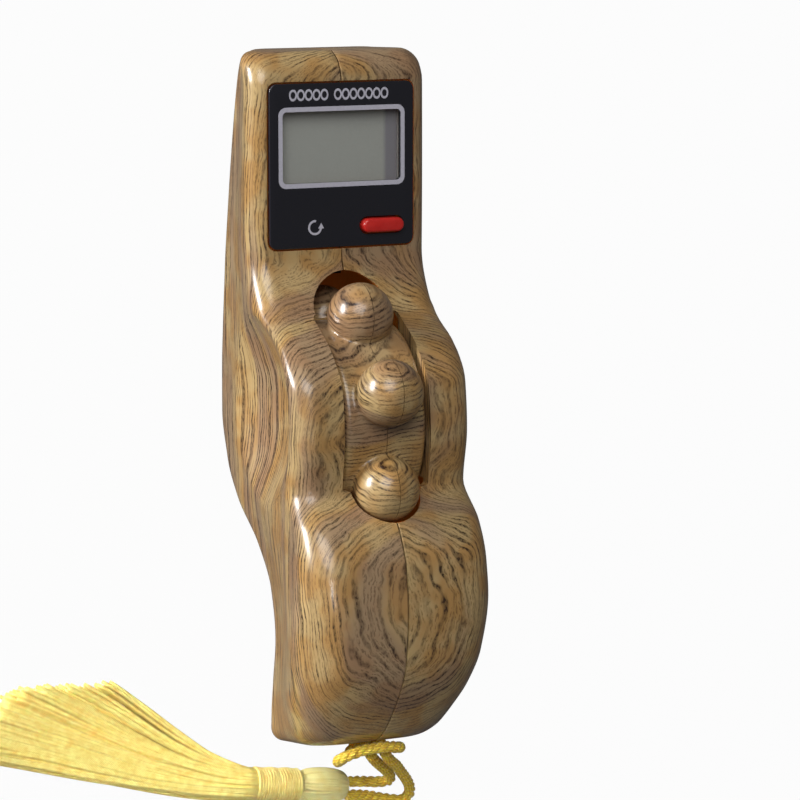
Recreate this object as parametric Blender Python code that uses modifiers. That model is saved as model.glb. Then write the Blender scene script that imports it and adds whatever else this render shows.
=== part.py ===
"""Hand-held bead counter: two glossy moulded shells, a bead wheel, a display with a reset
button, a battery behind a cap, and a tassel tied through the foot.

Sizes are in metres. The body is drawn in its own frame: X across, Y from the foot to the
head, Z out of the display. It then lies on its back, on the hump behind the wheel and on the
foot, with the head raised. The tassel lies on the same surface and is drawn in place.
"""
import math

import bmesh
import bpy
from mathutils import Matrix, Vector

# Fits
GAP = 0.0003
SEAM = 0.0003
WALL = 0.0018

# How the body lies
LIE_ANGLE = math.radians(20.0)
LIE_HEIGHT = 0.0181
LIE_SHIFT = -0.04915

# Body outline
FOOT_END = 0.0044
HEAD_REACH = 0.0592
END_ROUND = 0.0025
CROWN = 0.0005
FOOT_SLANT = 0.17
FOOT_SLANT_HEIGHT = 0.030
FOOT_SLANT_LENGTH = 0.020
DISPLAY_FACE = 0.0242
HEAD_HALF_WIDTH = 0.0156
CHEEK_HALF_WIDTH = 0.0155
CHEEK_FRONT = 0.0421
BELLY_HALF_WIDTH = 0.0168
BELLY_FRONT = 0.0497
BACK_HALF_WIDTH = 0.0130
HUMP_BACK = -0.0003
HOLLOW_HALF_LENGTH = 0.0140
HOLLOW_HEIGHT = 0.0245
HOLLOW_HALF_HEIGHT = 0.0128
HOLLOW_DEPTH = 0.0038

# Bead wheel
WHEEL_Y = 0.0572
WHEEL_Z = 0.0257
BEAD_COUNT = 7
BEAD_RADIUS = 0.0052
BEAD_RING = 0.0182
BEAD_PHASE = math.radians(20.5)
BEAD_CLEARANCE = 0.0006
DRUM_RADIUS = 0.0160
DRUM_HALF_WIDTH = 0.0070
DRUM_CHAMFER = 0.0010
DRUM_WALL = 0.0015
HUB_RADIUS = 0.0036
AXLE_RADIUS = 0.0015
AXLE_HALF_LENGTH = 0.0092
AXLE_BOSS_RADIUS = 0.0032
WASHER_THICKNESS = 0.0004
WASHER_RADIUS = 0.0030
MAGNET_RADIUS = 0.0015
MAGNET_LENGTH = 0.0016

# Opening in front of the wheel
SLOT_HALF_WIDTH = 0.0075
SLOT_FOOT_REACH = 0.0094
SLOT_HEAD_REACH = 0.0175
ARCH_HALF_WIDTH = 0.0069
ARCH_REACH = 0.0004
NOTCH_HALF_WIDTH = 0.0064
NOTCH_REACH = 0.0141
SLOT_FLOOR = 0.0200

# Display
LABEL_WIDTH = 0.0256
LABEL_LENGTH = 0.0265
LABEL_FROM_HEAD = 0.0050
LABEL_CORNER = 0.0013
LABEL_THICKNESS = 0.0009
LABEL_PROUD = 0.0001
WINDOW_WIDTH = 0.0208
WINDOW_LENGTH = 0.0115
WINDOW_CORNER = 0.0008
WINDOW_FROM_LABEL_END = 0.0045
WINDOW_STEP = 0.0006
LENS_THICKNESS = 0.0007
GLASS_WIDTH = 0.0218
GLASS_LENGTH = 0.0140
GLASS_THICKNESS = 0.0016
GLASS_SET = 0.0007
HOLDER_SET = 0.0009
HOLDER_WALL = 0.0008
HOLDER_LEDGE = 0.0009
ZEBRA_WIDTH = 0.0180
ZEBRA_LENGTH = 0.0018

# Circuit board
BOARD_TOP = 0.0180
BOARD_THICKNESS = 0.0012
BOARD_HALF_WIDTH = 0.0122
BOARD_PAST_LABEL = 0.0004
BOARD_FROM_HEAD = 0.0030
POST_RADIUS = 0.0015
POST_X = 0.0104
POST_FROM_BOARD_FOOT = 0.0027
POST_FROM_BOARD_HEAD = 0.0018
BLOB_X = -0.0060
BLOB_FROM_BOARD_FOOT = 0.0060
BLOB_RADIUS = 0.0034
BLOB_HEIGHT = 0.0014

# Reset button
BUTTON_X = 0.0070
BUTTON_FROM_LABEL_FOOT = 0.0033
BUTTON_LENGTH = 0.0073
BUTTON_WIDTH = 0.0023
BUTTON_PROUD = 0.0011
BUTTON_EDGE = 0.0005
FLANGE_MARGIN = 0.0010
FLANGE_THICKNESS = 0.0008
PLUNGER_RADIUS = 0.0010
PLUNGER_LENGTH = 0.0006
PAD_RADIUS = 0.0022

# Battery
BATTERY_FROM_HEAD = 0.0174
BATTERY_TILT = math.radians(9.6)
BATTERY_SEAT = 0.0072
CELL_RADIUS = 0.0058
CELL_HEIGHT = 0.0054
TRAY_HALF_WIDTH = 0.0078
TRAY_HALF_LENGTH = 0.0078
TRAY_ROOF = 0.0012
CONTACT_THICKNESS = 0.0003
CONTACT_WIDTH = 0.0036
CAP_RADIUS = 0.0069
CAP_DEPTH = 0.0020
CAP_PLUG_RADIUS = 0.0055
COIN_GROOVE = 0.0012

# Screws and pins
SCREW_SHANK_RADIUS = 0.0010
SCREW_HEAD_RADIUS = 0.0018
SCREW_HEAD_HEIGHT = 0.0014
SCREW_SEAT_X = 0.0060
SCREW_REACH = 0.0072
SCREW_BOSS_LEFT = 0.0026
SCREW_BOSS_RIGHT = 0.0033
HEAD_SCREW_FROM_HEAD = 0.0056
NECK_SCREW_REACH = 0.0292
BELLY_SCREW_REACH = 0.0287
FOOT_SCREW_Y = 0.0130
SMALL_SHANK_RADIUS = 0.0006
SMALL_HEAD_RADIUS = 0.0012
SMALL_HEAD_HEIGHT = 0.0007
PIN_Y = 0.0112
PIN_Z = 0.0342
PIN_RADIUS = 0.0008
PIN_HALF_LENGTH = 0.0062
PIN_BOSS_START = 0.0037
PIN_BOSS_RADIUS = 0.0022
CORD_HOLE_RADIUS = 0.0032
CORD_HOLE_DROP = 0.0003

# Count sensor
SENSOR_CLEARANCE = 0.0014
SENSOR_THICKNESS = 0.0008
SENSOR_HALF_WIDTH = 0.0108
SENSOR_FLOOR = 0.0066
SENSOR_HEIGHT = 0.0102
REED_HALF_LENGTH = 0.0042
REED_SIZE = 0.0020
WIRE_RADIUS = 0.00035
WIRE_HOLE = (0.0010, 0.0025)

# Tassel
CORD_RADIUS = 0.00095
CORD_POINTS = 66
TASSEL_X = -0.0039
TASSEL_Y = -0.0125
TASSEL_TURN = math.radians(172.3)
TASSEL_AXIS = 0.0031
HEAD_RADIUS = 0.0030
HEAD_START = -0.0043
HEAD_LENGTH = 0.0082
NECK_RADIUS = 0.00205
NECK_START = 0.0042
BINDING_LOOPS = 8
BINDING_PITCH = 0.00096
BINDING_WIRE = 0.00026
BINDING_START = 0.0045
FLUTES = 9
FLUTE_DEPTH = 0.00022

# Counts
RING_ENDS = 4
RINGS = 30
HOLLOW_RINGS = 16
TURN_STEPS = 40

# The opening, the sensor and the whole head keep their distances from the wheel
BEAD_TIP = BEAD_RING + BEAD_RADIUS
HEAD_END = WHEEL_Y + HEAD_REACH
SLOT_FOOT_END = WHEEL_Y - SLOT_FOOT_REACH
SLOT_HEAD_END = WHEEL_Y + SLOT_HEAD_REACH
NOTCH_END = WHEEL_Y - NOTCH_REACH
SENSOR_Y = WHEEL_Y + BEAD_TIP + SENSOR_CLEARANCE
BATTERY_Y = HEAD_END - BATTERY_FROM_HEAD
LABEL_HEAD_END = HEAD_END - LABEL_FROM_HEAD
LABEL_FOOT_END = LABEL_HEAD_END - LABEL_LENGTH
LABEL_TOP = DISPLAY_FACE + LABEL_PROUD
LABEL_BOTTOM = LABEL_TOP - LABEL_THICKNESS
RECESS_FLOOR = LABEL_BOTTOM - GAP
WINDOW_Y = LABEL_HEAD_END - WINDOW_FROM_LABEL_END - WINDOW_LENGTH / 2
BUTTON_Y = LABEL_FOOT_END + BUTTON_FROM_LABEL_FOOT
INNER_FACE = DISPLAY_FACE - WALL
BOARD_FOOT_END = LABEL_FOOT_END - BOARD_PAST_LABEL
BOARD_HEAD_END = HEAD_END - BOARD_FROM_HEAD
POST_FOOT_Y = BOARD_FOOT_END + POST_FROM_BOARD_FOOT
POST_HEAD_Y = BOARD_HEAD_END - POST_FROM_BOARD_HEAD
BLOB_Y = BOARD_FOOT_END + BLOB_FROM_BOARD_FOOT
CASE_SCREWS = {"head": (HEAD_END - HEAD_SCREW_FROM_HEAD, 0.0122),
               "neck": (WHEEL_Y + NECK_SCREW_REACH, 0.0090),
               "belly": (WHEEL_Y - BELLY_SCREW_REACH, 0.0280), "foot": (FOOT_SCREW_Y, 0.0252)}


def along_belly(share):
    """A place between the foot's end and the wheel's axis."""
    return FOOT_END + share * (WHEEL_Y - FOOT_END)


# Body sections: y, front, back, ridge half width, ridge radius, back half width, back radius
STATIONS = [
    (FOOT_END, BELLY_FRONT - 0.0111, 0.0176, BELLY_HALF_WIDTH - 0.0052, 0.0070, 0.0114, 0.0035),
    (along_belly(0.087121), BELLY_FRONT - 0.0067, 0.0178, BELLY_HALF_WIDTH - 0.0032, 0.0080, 0.0117,
     0.0045),
    (along_belly(0.181818), BELLY_FRONT - 0.0033, 0.0186, BELLY_HALF_WIDTH - 0.0016, 0.0085, 0.0119,
     0.0050),
    (along_belly(0.314394), BELLY_FRONT - 0.0008, 0.0194, BELLY_HALF_WIDTH - 0.0005, 0.0082, 0.0121,
     0.0060),
    (along_belly(0.465909), BELLY_FRONT, 0.0180, BELLY_HALF_WIDTH, 0.0072, 0.0124, 0.0065),
    (along_belly(0.598485), BELLY_FRONT - 0.0007, 0.0130, BELLY_HALF_WIDTH - 0.0005, 0.0058, 0.0128,
     0.0070),
    (along_belly(0.712121), BELLY_FRONT - 0.0034, 0.0052, BELLY_HALF_WIDTH - 0.0009, 0.0048,
     BACK_HALF_WIDTH, 0.0070),
    (WHEEL_Y - 0.0092, CHEEK_FRONT - 0.0010, HUMP_BACK + 0.0010, CHEEK_HALF_WIDTH - 0.0001,
     0.0042, BACK_HALF_WIDTH, 0.0070),
    (WHEEL_Y - 0.0012, CHEEK_FRONT, HUMP_BACK - 0.0008, CHEEK_HALF_WIDTH, 0.0040,
     BACK_HALF_WIDTH + 0.0002, 0.0070),
    (WHEEL_Y + 0.0068, CHEEK_FRONT - 0.0008, HUMP_BACK - 0.0003, CHEEK_HALF_WIDTH + 0.0001,
     0.0041, BACK_HALF_WIDTH + 0.0002, 0.0065),
    (WHEEL_Y + 0.0128, CHEEK_FRONT - 0.0055, HUMP_BACK + 0.0010, CHEEK_HALF_WIDTH + 0.0003,
     0.0043, BACK_HALF_WIDTH + 0.0002, 0.0055),
    (WHEEL_Y + 0.0188, DISPLAY_FACE + 0.0036, HUMP_BACK + 0.0018, HEAD_HALF_WIDTH,
     0.0040, BACK_HALF_WIDTH + 0.0001, 0.0050),
    (LABEL_FOOT_END - 0.0009, DISPLAY_FACE, HUMP_BACK + 0.0029, HEAD_HALF_WIDTH, 0.0032,
     BACK_HALF_WIDTH, 0.0045),
    (LABEL_HEAD_END - 0.0134, DISPLAY_FACE, HUMP_BACK + 0.0051, HEAD_HALF_WIDTH, 0.0030,
     BACK_HALF_WIDTH - 0.0001, 0.0045),
    (LABEL_HEAD_END, DISPLAY_FACE, HUMP_BACK + 0.0077, HEAD_HALF_WIDTH, 0.0031,
     BACK_HALF_WIDTH - 0.0003, 0.0045),
    (HEAD_END, DISPLAY_FACE - 0.0021, HUMP_BACK + 0.0093, HEAD_HALF_WIDTH - 0.0001, 0.0040,
     BACK_HALF_WIDTH - 0.0005, 0.0045),
]

# The cord's way, from the tassel's head through the foot's hole, twice round the pin, and back
CORD_ROUTE = [
    (0.8, -12.5, 3.3), (3.0, -12.6, 2.8), (5.3, -12.9, 2.6), (7.0, -13.1, 2.9), (7.8, -13.0, 4.2),
    (7.2, -12.3, 6.0), (5.6, -11.5, 8.2), (3.6, -10.7, 10.6), (1.7, -9.8, 12.9), (0.2, -8.6, 14.8),
    (-0.8, -7.1, 16.2), (-1.3, -5.4, 17.4), (-1.3, -3.6, 18.8), (-1.3, -1.7, 19.8),
    (-1.3, 0.3, 19.5), (-1.3, 1.0, 17.5), (-1.3, -0.5, 15.8), (-1.3, -2.6, 15.3),
    (-1.3, -4.8, 14.9), (-1.6, -6.8, 14.4), (-2.9, -8.6, 13.5), (-4.6, -9.5, 13.9),
    (-5.7, -9.7, 15.4), (-5.6, -9.4, 17.3), (-4.3, -9.0, 18.6), (-2.2, -8.6, 19.1),
    (0.2, -8.5, 19.0), (2.5, -8.5, 18.4), (4.4, -8.7, 17.3), (5.4, -8.6, 15.5), (4.6, -8.4, 13.9),
    (2.9, -8.0, 13.6), (1.6, -7.0, 14.0), (1.2, -4.6, 14.6), (1.3, -2.6, 15.3), (1.3, -0.5, 15.8),
    (1.3, 1.0, 17.5), (1.3, 0.3, 19.5), (1.3, -1.7, 19.8), (1.3, -3.6, 18.8), (1.3, -5.6, 17.4),
    (1.8, -7.7, 16.6), (3.0, -9.5, 15.2), (4.6, -10.6, 13.3), (6.4, -11.2, 11.0), (8.3, -12.3, 8.4),
    (10.1, -13.4, 6.0), (11.4, -14.5, 3.9), (11.9, -15.6, 2.2), (11.0, -16.4, 1.3), (9.2, -16.2, 1.1),
    (7.2, -15.7, 1.1), (5.3, -15.2, 1.4), (3.0, -14.8, 2.0), (0.5, -14.6, 2.5),
]

# Fringe sections along the tassel: distance, near edge, far edge, height
FRINGE = [
    (0.0128, 0.0026, -0.0026, 0.0054),
    (0.0160, 0.0027, -0.0032, 0.0050),
    (0.0200, 0.0025, -0.0049, 0.0044),
    (0.0260, 0.0022, -0.0090, 0.0038),
    (0.0320, 0.0017, -0.0132, 0.0034),
    (0.0380, 0.0012, -0.0156, 0.0030),
    (0.0460, -0.0003, -0.0158, 0.0028),
    (0.0540, -0.0024, -0.0152, 0.0026),
    (0.0580, -0.0034, -0.0142, 0.0024),
]

for old in list(bpy.data.objects):
    bpy.data.objects.remove(old, do_unlink=True)
PARTS = bpy.data.collections.new("finger_counter")
CUTTERS = bpy.data.collections.new("cutters")
bpy.context.scene.collection.children.link(PARTS)
bpy.context.scene.collection.children.link(CUTTERS)


def material(name, colour, roughness, metallic=0.0):
    made = bpy.data.materials.new(name)
    made.use_nodes = True
    shader = made.node_tree.nodes["Principled BSDF"]
    shader.inputs["Base Color"].default_value = (*colour, 1.0)
    shader.inputs["Roughness"].default_value = roughness
    shader.inputs["Metallic"].default_value = metallic
    return made


def empty(name, location=(0, 0, 0), turn=(0, 0, 0), parent=None):
    made = bpy.data.objects.new(name, None)
    made.location = location
    made.rotation_euler = turn
    made.parent = parent
    PARTS.objects.link(made)
    return made


BODY = empty("body_frame",
             (0, LIE_SHIFT, -LIE_HEIGHT), (LIE_ANGLE, 0, 0))
WHEEL = empty("wheel_axis", (0, WHEEL_Y, WHEEL_Z), parent=BODY)
BATTERY = empty("battery_frame", (0, BATTERY_Y, BATTERY_SEAT), (BATTERY_TILT, 0, 0), BODY)
TASSEL = empty("tassel_frame", (TASSEL_X, TASSEL_Y + LIE_SHIFT, TASSEL_AXIS), (0, 0, TASSEL_TURN))


def part(name, mesh, look, parent=BODY):
    made = bpy.data.objects.new(name, mesh)
    made.parent = parent
    mesh.materials.append(look)
    PARTS.objects.link(made)
    mesh.shade_smooth()
    mesh.set_sharp_from_angle(angle=math.radians(35))
    return made


def cutter(name, mesh, parent=BODY):
    made = bpy.data.objects.new(name, mesh)
    made.parent = parent
    made.hide_render = True
    made.display_type = 'WIRE'
    CUTTERS.objects.link(made)
    return made


def boolean(target, tool, operation='DIFFERENCE'):
    step = target.modifiers.new(tool.name, 'BOOLEAN')
    step.operation = operation
    step.object = tool


def finish_mesh(bm, name):
    bmesh.ops.remove_doubles(bm, verts=bm.verts, dist=1e-7)
    bmesh.ops.recalc_face_normals(bm, faces=bm.faces)
    mesh = bpy.data.meshes.new(name)
    bm.to_mesh(mesh)
    bm.free()
    return mesh


def box_mesh(low, high):
    bm = bmesh.new()
    size = Vector(high) - Vector(low)
    centre = (Vector(high) + Vector(low)) / 2
    bmesh.ops.create_cube(bm, size=1.0, matrix=Matrix.Translation(centre) @ Matrix.Diagonal((*size, 1)))
    return finish_mesh(bm, "box")


def rod_mesh(start, end, radius, end_radius=None, sides=16):
    bm = bmesh.new()
    start, end = Vector(start), Vector(end)
    turn = (end - start).to_track_quat('Z', 'Y').to_matrix().to_4x4()
    bmesh.ops.create_cone(bm, cap_ends=True, segments=sides, radius1=radius,
                          radius2=radius if end_radius is None else end_radius,
                          depth=(end - start).length,
                          matrix=Matrix.Translation((start + end) / 2) @ turn)
    return finish_mesh(bm, "rod")


def prism_mesh(outline, low, high):
    bm = bmesh.new()
    face = bm.faces.new([bm.verts.new((x, y, low)) for x, y in outline])
    top = bmesh.ops.extrude_face_region(bm, geom=[face])["geom"]
    bmesh.ops.translate(bm, vec=(0, 0, high - low),
                        verts=[v for v in top if isinstance(v, bmesh.types.BMVert)])
    return finish_mesh(bm, "prism")


def rounded_outline(width, length, radius, centre=(0, 0), steps=4):
    points = []
    for corner, (sx, sy) in enumerate(((1, 1), (-1, 1), (-1, -1), (1, -1))):
        for step in range(steps + 1):
            angle = math.pi / 2 * (corner + step / steps)
            points.append((centre[0] + sx * (width / 2 - radius) + radius * math.cos(angle),
                           centre[1] + sy * (length / 2 - radius) + radius * math.sin(angle)))
    return points


def turned_mesh(profile, steps=TURN_STEPS, closed=True):
    """A profile of (x, radius) points, spun round X; an open one starts and ends on the axis."""
    bm = bmesh.new()
    points = [bm.verts.new((x, 0, radius)) for x, radius in profile]
    ahead = points[1:] + points[:1] if closed else points[1:]
    edges = [bm.edges.new((a, b)) for a, b in zip(points, ahead)]
    bmesh.ops.spin(bm, geom=points + edges, axis=(1, 0, 0), cent=(0, 0, 0),
                   angle=math.tau, steps=steps, use_merge=True)
    return finish_mesh(bm, "turned")


def joined(meshes):
    bm = bmesh.new()
    for mesh in meshes:
        bm.from_mesh(mesh)
    return finish_mesh(bm, "joined")


def tube(name, points, radius, look, parent, resolution=2):
    curve = bpy.data.curves.new(name, 'CURVE')
    curve.dimensions = '3D'
    curve.bevel_depth = radius
    curve.bevel_resolution = resolution
    curve.use_fill_caps = True
    spline = curve.splines.new('POLY')
    spline.points.add(len(points) - 1)
    for place, point in zip(spline.points, points):
        place.co = (*point, 1)
    made = bpy.data.objects.new(name, curve)
    made.parent = parent
    curve.materials.append(look)
    PARTS.objects.link(made)
    return made


# Body form
def between_stations(y):
    """Every column of STATIONS at y, on a smooth curve that doesn't overshoot."""
    ys = [row[0] for row in STATIONS]
    index = max(0, min(len(ys) - 2, sum(1 for v in ys if v <= y) - 1))
    span = ys[index + 1] - ys[index]
    t = (y - ys[index]) / span
    values = []
    for column in range(1, len(STATIONS[0])):
        levels = [row[column] for row in STATIONS]
        slopes = [(levels[i + 1] - levels[i]) / (ys[i + 1] - ys[i]) for i in range(len(ys) - 1)]

        def tangent(i):
            if i == 0 or i == len(ys) - 1:
                return slopes[min(i, len(slopes) - 1)]
            before, after = slopes[i - 1], slopes[i]
            return 2 * before * after / (before + after) if before * after > 0 else 0.0
        m0, m1 = tangent(index) * span, tangent(index + 1) * span
        values.append((2 * t**3 - 3 * t**2 + 1) * levels[index] + (t**3 - 2 * t**2 + t) * m0
                      + (3 * t**2 - 2 * t**3) * levels[index + 1] + (t**3 - t**2) * m1)
    return values


def half_section(y, inset, flat=3, arc=4, flank=7, back=2):
    """Half outline from the middle of the front to the middle of the back, as (x, z)."""
    front, rear, ridge, ridge_round, rear_half, rear_round = between_stations(y)
    front, rear, ridge, rear_half = front - inset, rear + inset, ridge - inset, rear_half - inset
    ridge_round = max(ridge_round - inset, 0.0008)
    rear_round = max(rear_round - inset, 0.0008)
    edge = ridge - ridge_round
    points = [(edge * i / flat, front - CROWN * (edge * i / flat / ridge) ** 2) for i in range(flat)]
    shoulder = front - CROWN * (edge / ridge) ** 2 - ridge_round
    for i in range(arc + 1):
        angle = math.pi / 2 * (1 - i / arc)
        points.append((edge + ridge_round * math.cos(angle), shoulder + ridge_round * math.sin(angle)))
    for i in range(1, flank):
        t = i / flank
        ease = (t * t * (3 - 2 * t) + t) / 2
        points.append((ridge + (rear_half - ridge) * ease,
                       shoulder + (rear + rear_round - shoulder) * t))
    for i in range(arc + 1):
        angle = math.pi / 2 * i / arc
        points.append((rear_half - rear_round + rear_round * math.cos(angle),
                       rear + rear_round - rear_round * math.sin(angle)))
    points += [((rear_half - rear_round) * (1 - i / back), rear) for i in range(1, back + 1)]
    return [(x - finger_hollow(x, y, z), z) for x, z in points]


def finger_hollow(x, y, z):
    reach = ((y - WHEEL_Y - 0.0015) / HOLLOW_HALF_LENGTH) ** 2
    reach += ((z - HOLLOW_HEIGHT) / HOLLOW_HALF_HEIGHT) ** 2
    side = min(1.0, max(0.0, (x - 0.006) / 0.004))
    return HOLLOW_DEPTH * max(0.0, 1 - reach) ** 0.85 * side


def slanted(y, z):
    fade = max(0.0, 1 - (y - FOOT_END) / FOOT_SLANT_LENGTH)
    return y + FOOT_SLANT * (z - FOOT_SLANT_HEIGHT) * fade * fade * (3 - 2 * fade)


def half_body_mesh(side, inset, middle):
    """One half of the body, closed at x = middle; an inset makes the hollow inside."""
    low, high, round_end = FOOT_END + inset, HEAD_END - inset, END_ROUND - inset / 2
    levels = []
    for i in range(RING_ENDS + 1):
        angle = math.pi / 2 * i / RING_ENDS
        levels.append((low + round_end * (1 - math.cos(angle)), round_end * (1 - math.sin(angle))))
    run = high - low - 2 * round_end
    rings = HOLLOW_RINGS if inset else RINGS
    levels += [(low + round_end + run * i / rings, 0.0) for i in range(1, rings)]
    levels += [(low + high - y, drawn_in) for y, drawn_in in reversed(levels[:RING_ENDS + 1])]
    bm = bmesh.new()
    rings = []
    for y, drawn_in in levels:
        points = half_section(y, inset + drawn_in, *((2, 3, 5, 2) if inset else ()))
        points[0] = (middle, points[0][1])
        points[-1] = (middle, points[-1][1])
        rings.append([bm.verts.new((side * x, slanted(y, z), z)) for x, z in points])
    for first, second in zip(rings, rings[1:]):
        for i in range(len(first)):
            j = (i + 1) % len(first)
            bm.faces.new((first[i], first[j], second[j], second[i]))
    bm.faces.new(rings[0])
    bm.faces.new(rings[-1])
    return finish_mesh(bm, "half_body")


def stadium(half_width, low, high, steps=10):
    """Outline with round ends, from y = low to y = high."""
    points = []
    for centre, start in ((high - half_width, 0.0), (low + half_width, math.pi)):
        for i in range(steps + 1):
            angle = start + math.pi * i / steps
            points.append((half_width * math.cos(angle), centre + half_width * math.sin(angle)))
    return points


wood_print = material("wood_grain_printed_abs", (0.36, 0.22, 0.10), 0.25)
FAR = 0.040
floor = cutter("floor", box_mesh((-FAR, -4 * FAR, -FAR), (FAR, 4 * FAR, 0)), None)
slot = cutter("wheel_slot", prism_mesh(
    rounded_outline(2 * SLOT_HALF_WIDTH, SLOT_HEAD_END - SLOT_FOOT_END, 0.0004,
                    (0, (SLOT_HEAD_END + SLOT_FOOT_END) / 2)), SLOT_FLOOR, 2 * FAR))
arch = cutter("slot_arch", prism_mesh(
    stadium(ARCH_HALF_WIDTH, WHEEL_Y, WHEEL_Y + BEAD_TIP + ARCH_REACH), SLOT_FLOOR, 2 * FAR))
notch = cutter("slot_notch", prism_mesh(
    stadium(NOTCH_HALF_WIDTH, NOTCH_END, WHEEL_Y), SLOT_FLOOR, 2 * FAR))
bead_path = cutter("bead_path", turned_mesh(
    [((BEAD_RADIUS + BEAD_CLEARANCE) * math.cos(math.tau * i / 12),
      BEAD_RING + (BEAD_RADIUS + BEAD_CLEARANCE) * math.sin(math.tau * i / 12)) for i in range(12)]),
    WHEEL)
label_recess = cutter("label_recess", prism_mesh(
    rounded_outline(LABEL_WIDTH + 2 * GAP, LABEL_LENGTH + 2 * GAP, LABEL_CORNER + GAP,
                    (0, LABEL_HEAD_END - LABEL_LENGTH / 2)), RECESS_FLOOR, FAR))
shell_window = cutter("shell_window", prism_mesh(
    rounded_outline(WINDOW_WIDTH + 2 * WINDOW_STEP, WINDOW_LENGTH + 2 * WINDOW_STEP,
                    WINDOW_CORNER, (0, WINDOW_Y)), SLOT_FLOOR, FAR))
button_hole = cutter("button_hole", prism_mesh(
    rounded_outline(BUTTON_LENGTH + 2 * GAP, BUTTON_WIDTH + 2 * GAP,
                    BUTTON_WIDTH / 2 + GAP * 0.9, (BUTTON_X, BUTTON_Y)), SLOT_FLOOR, FAR))
cord_hole = cutter("cord_hole", rod_mesh((0, -0.010, PIN_Z - CORD_HOLE_DROP),
                                         (0, PIN_Y - 0.001, PIN_Z - CORD_HOLE_DROP),
                                         CORD_HOLE_RADIUS, sides=32))
pin_hole = cutter("pin_hole", rod_mesh((-PIN_HALF_LENGTH - GAP, PIN_Y, PIN_Z),
                                       (PIN_HALF_LENGTH + GAP, PIN_Y, PIN_Z), PIN_RADIUS + GAP))
axle_hole = cutter("axle_hole", rod_mesh((-AXLE_HALF_LENGTH - GAP, 0, 0), (AXLE_HALF_LENGTH + GAP, 0, 0),
                                         AXLE_RADIUS + GAP), WHEEL)
cap_opening = cutter("cap_opening", rod_mesh((0, 0, -0.006), (0, 0, 0.0004), CAP_RADIUS + GAP, sides=32),
                     BATTERY)
AXLE_BOSS_START = DRUM_HALF_WIDTH + 2 * GAP + WASHER_THICKNESS
POSTS = {-1: POST_FOOT_Y, 1: POST_HEAD_Y}


def shell(name, side):
    """One moulded half, with its screw bosses, axle boss, pin boss and board post."""
    hollow = cutter(name + "_hollow", half_body_mesh(side, WALL, -0.002))
    boss_radius = SCREW_BOSS_RIGHT if side > 0 else SCREW_BOSS_LEFT
    bosses = [(side * SEAM / 2, y, z, boss_radius) for y, z in CASE_SCREWS.values()]
    bosses.append((side * AXLE_BOSS_START, WHEEL_Y, WHEEL_Z, AXLE_BOSS_RADIUS))
    bosses.append((side * PIN_BOSS_START, PIN_Y, PIN_Z, PIN_BOSS_RADIUS))
    for number, (x, y, z, radius) in enumerate(bosses):
        boolean(hollow, cutter(f"{name}_boss_{number}", rod_mesh((x, y, z), (side * FAR, y, z), radius)))
    post_y = POSTS[side]
    boolean(hollow, cutter(name + "_post", rod_mesh((side * POST_X, post_y, BOARD_TOP + GAP),
                                                    (side * POST_X, post_y, FAR), POST_RADIUS)))
    made = part(name, half_body_mesh(side, 0.0, SEAM / 2), wood_print)
    boolean(made, hollow)
    for tool in (slot, arch, notch, bead_path, label_recess, shell_window, button_hole, cord_hole,
                 pin_hole, axle_hole, cap_opening):
        boolean(made, tool)
    for spot, (y, z) in CASE_SCREWS.items():
        reach = -SCREW_REACH - GAP if side < 0 else FAR
        boolean(made, cutter(f"{name}_{spot}_hole",
                             rod_mesh((side * -0.001, y, z), (reach, y, z), SCREW_SHANK_RADIUS + GAP)))
        if side > 0:
            boolean(made, cutter(f"{name}_{spot}_sink", rod_mesh((SCREW_SEAT_X, y, z), (FAR, y, z),
                                                                 SCREW_HEAD_RADIUS + GAP)))
    boolean(made, cutter(name + "_post_hole",
                         rod_mesh((side * POST_X, post_y, BOARD_TOP - GAP),
                                  (side * POST_X, post_y, INNER_FACE - GAP), SMALL_SHANK_RADIUS + GAP,
                                  sides=16)))
    boolean(made, floor)
    return made


shell_left = shell("shell_left", -1)
shell_right = shell("shell_right", 1)

# Bead wheel, in two halves
wheel_print = material("wood_grain_printed_wheel", (0.38, 0.24, 0.11), 0.25)
steel = material("plated_steel", (0.55, 0.55, 0.56), 0.3, 1.0)
magnet_grey = material("nickel_plated_magnet", (0.45, 0.45, 0.46), 0.3, 1.0)
nylon = material("white_nylon", (0.75, 0.74, 0.70), 0.5)


def bead_place(number):
    angle = BEAD_PHASE + math.tau * number / BEAD_COUNT
    return Vector((0, math.sin(angle), math.cos(angle)))


def beads_mesh():
    bm = bmesh.new()
    lay = Matrix.Rotation(math.pi / 2, 4, 'Y')
    for number in range(BEAD_COUNT):
        bmesh.ops.create_uvsphere(bm, u_segments=14, v_segments=8, radius=BEAD_RADIUS,
                                  matrix=Matrix.Translation(bead_place(number) * BEAD_RING) @ lay)
    return finish_mesh(bm, "beads")


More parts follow.
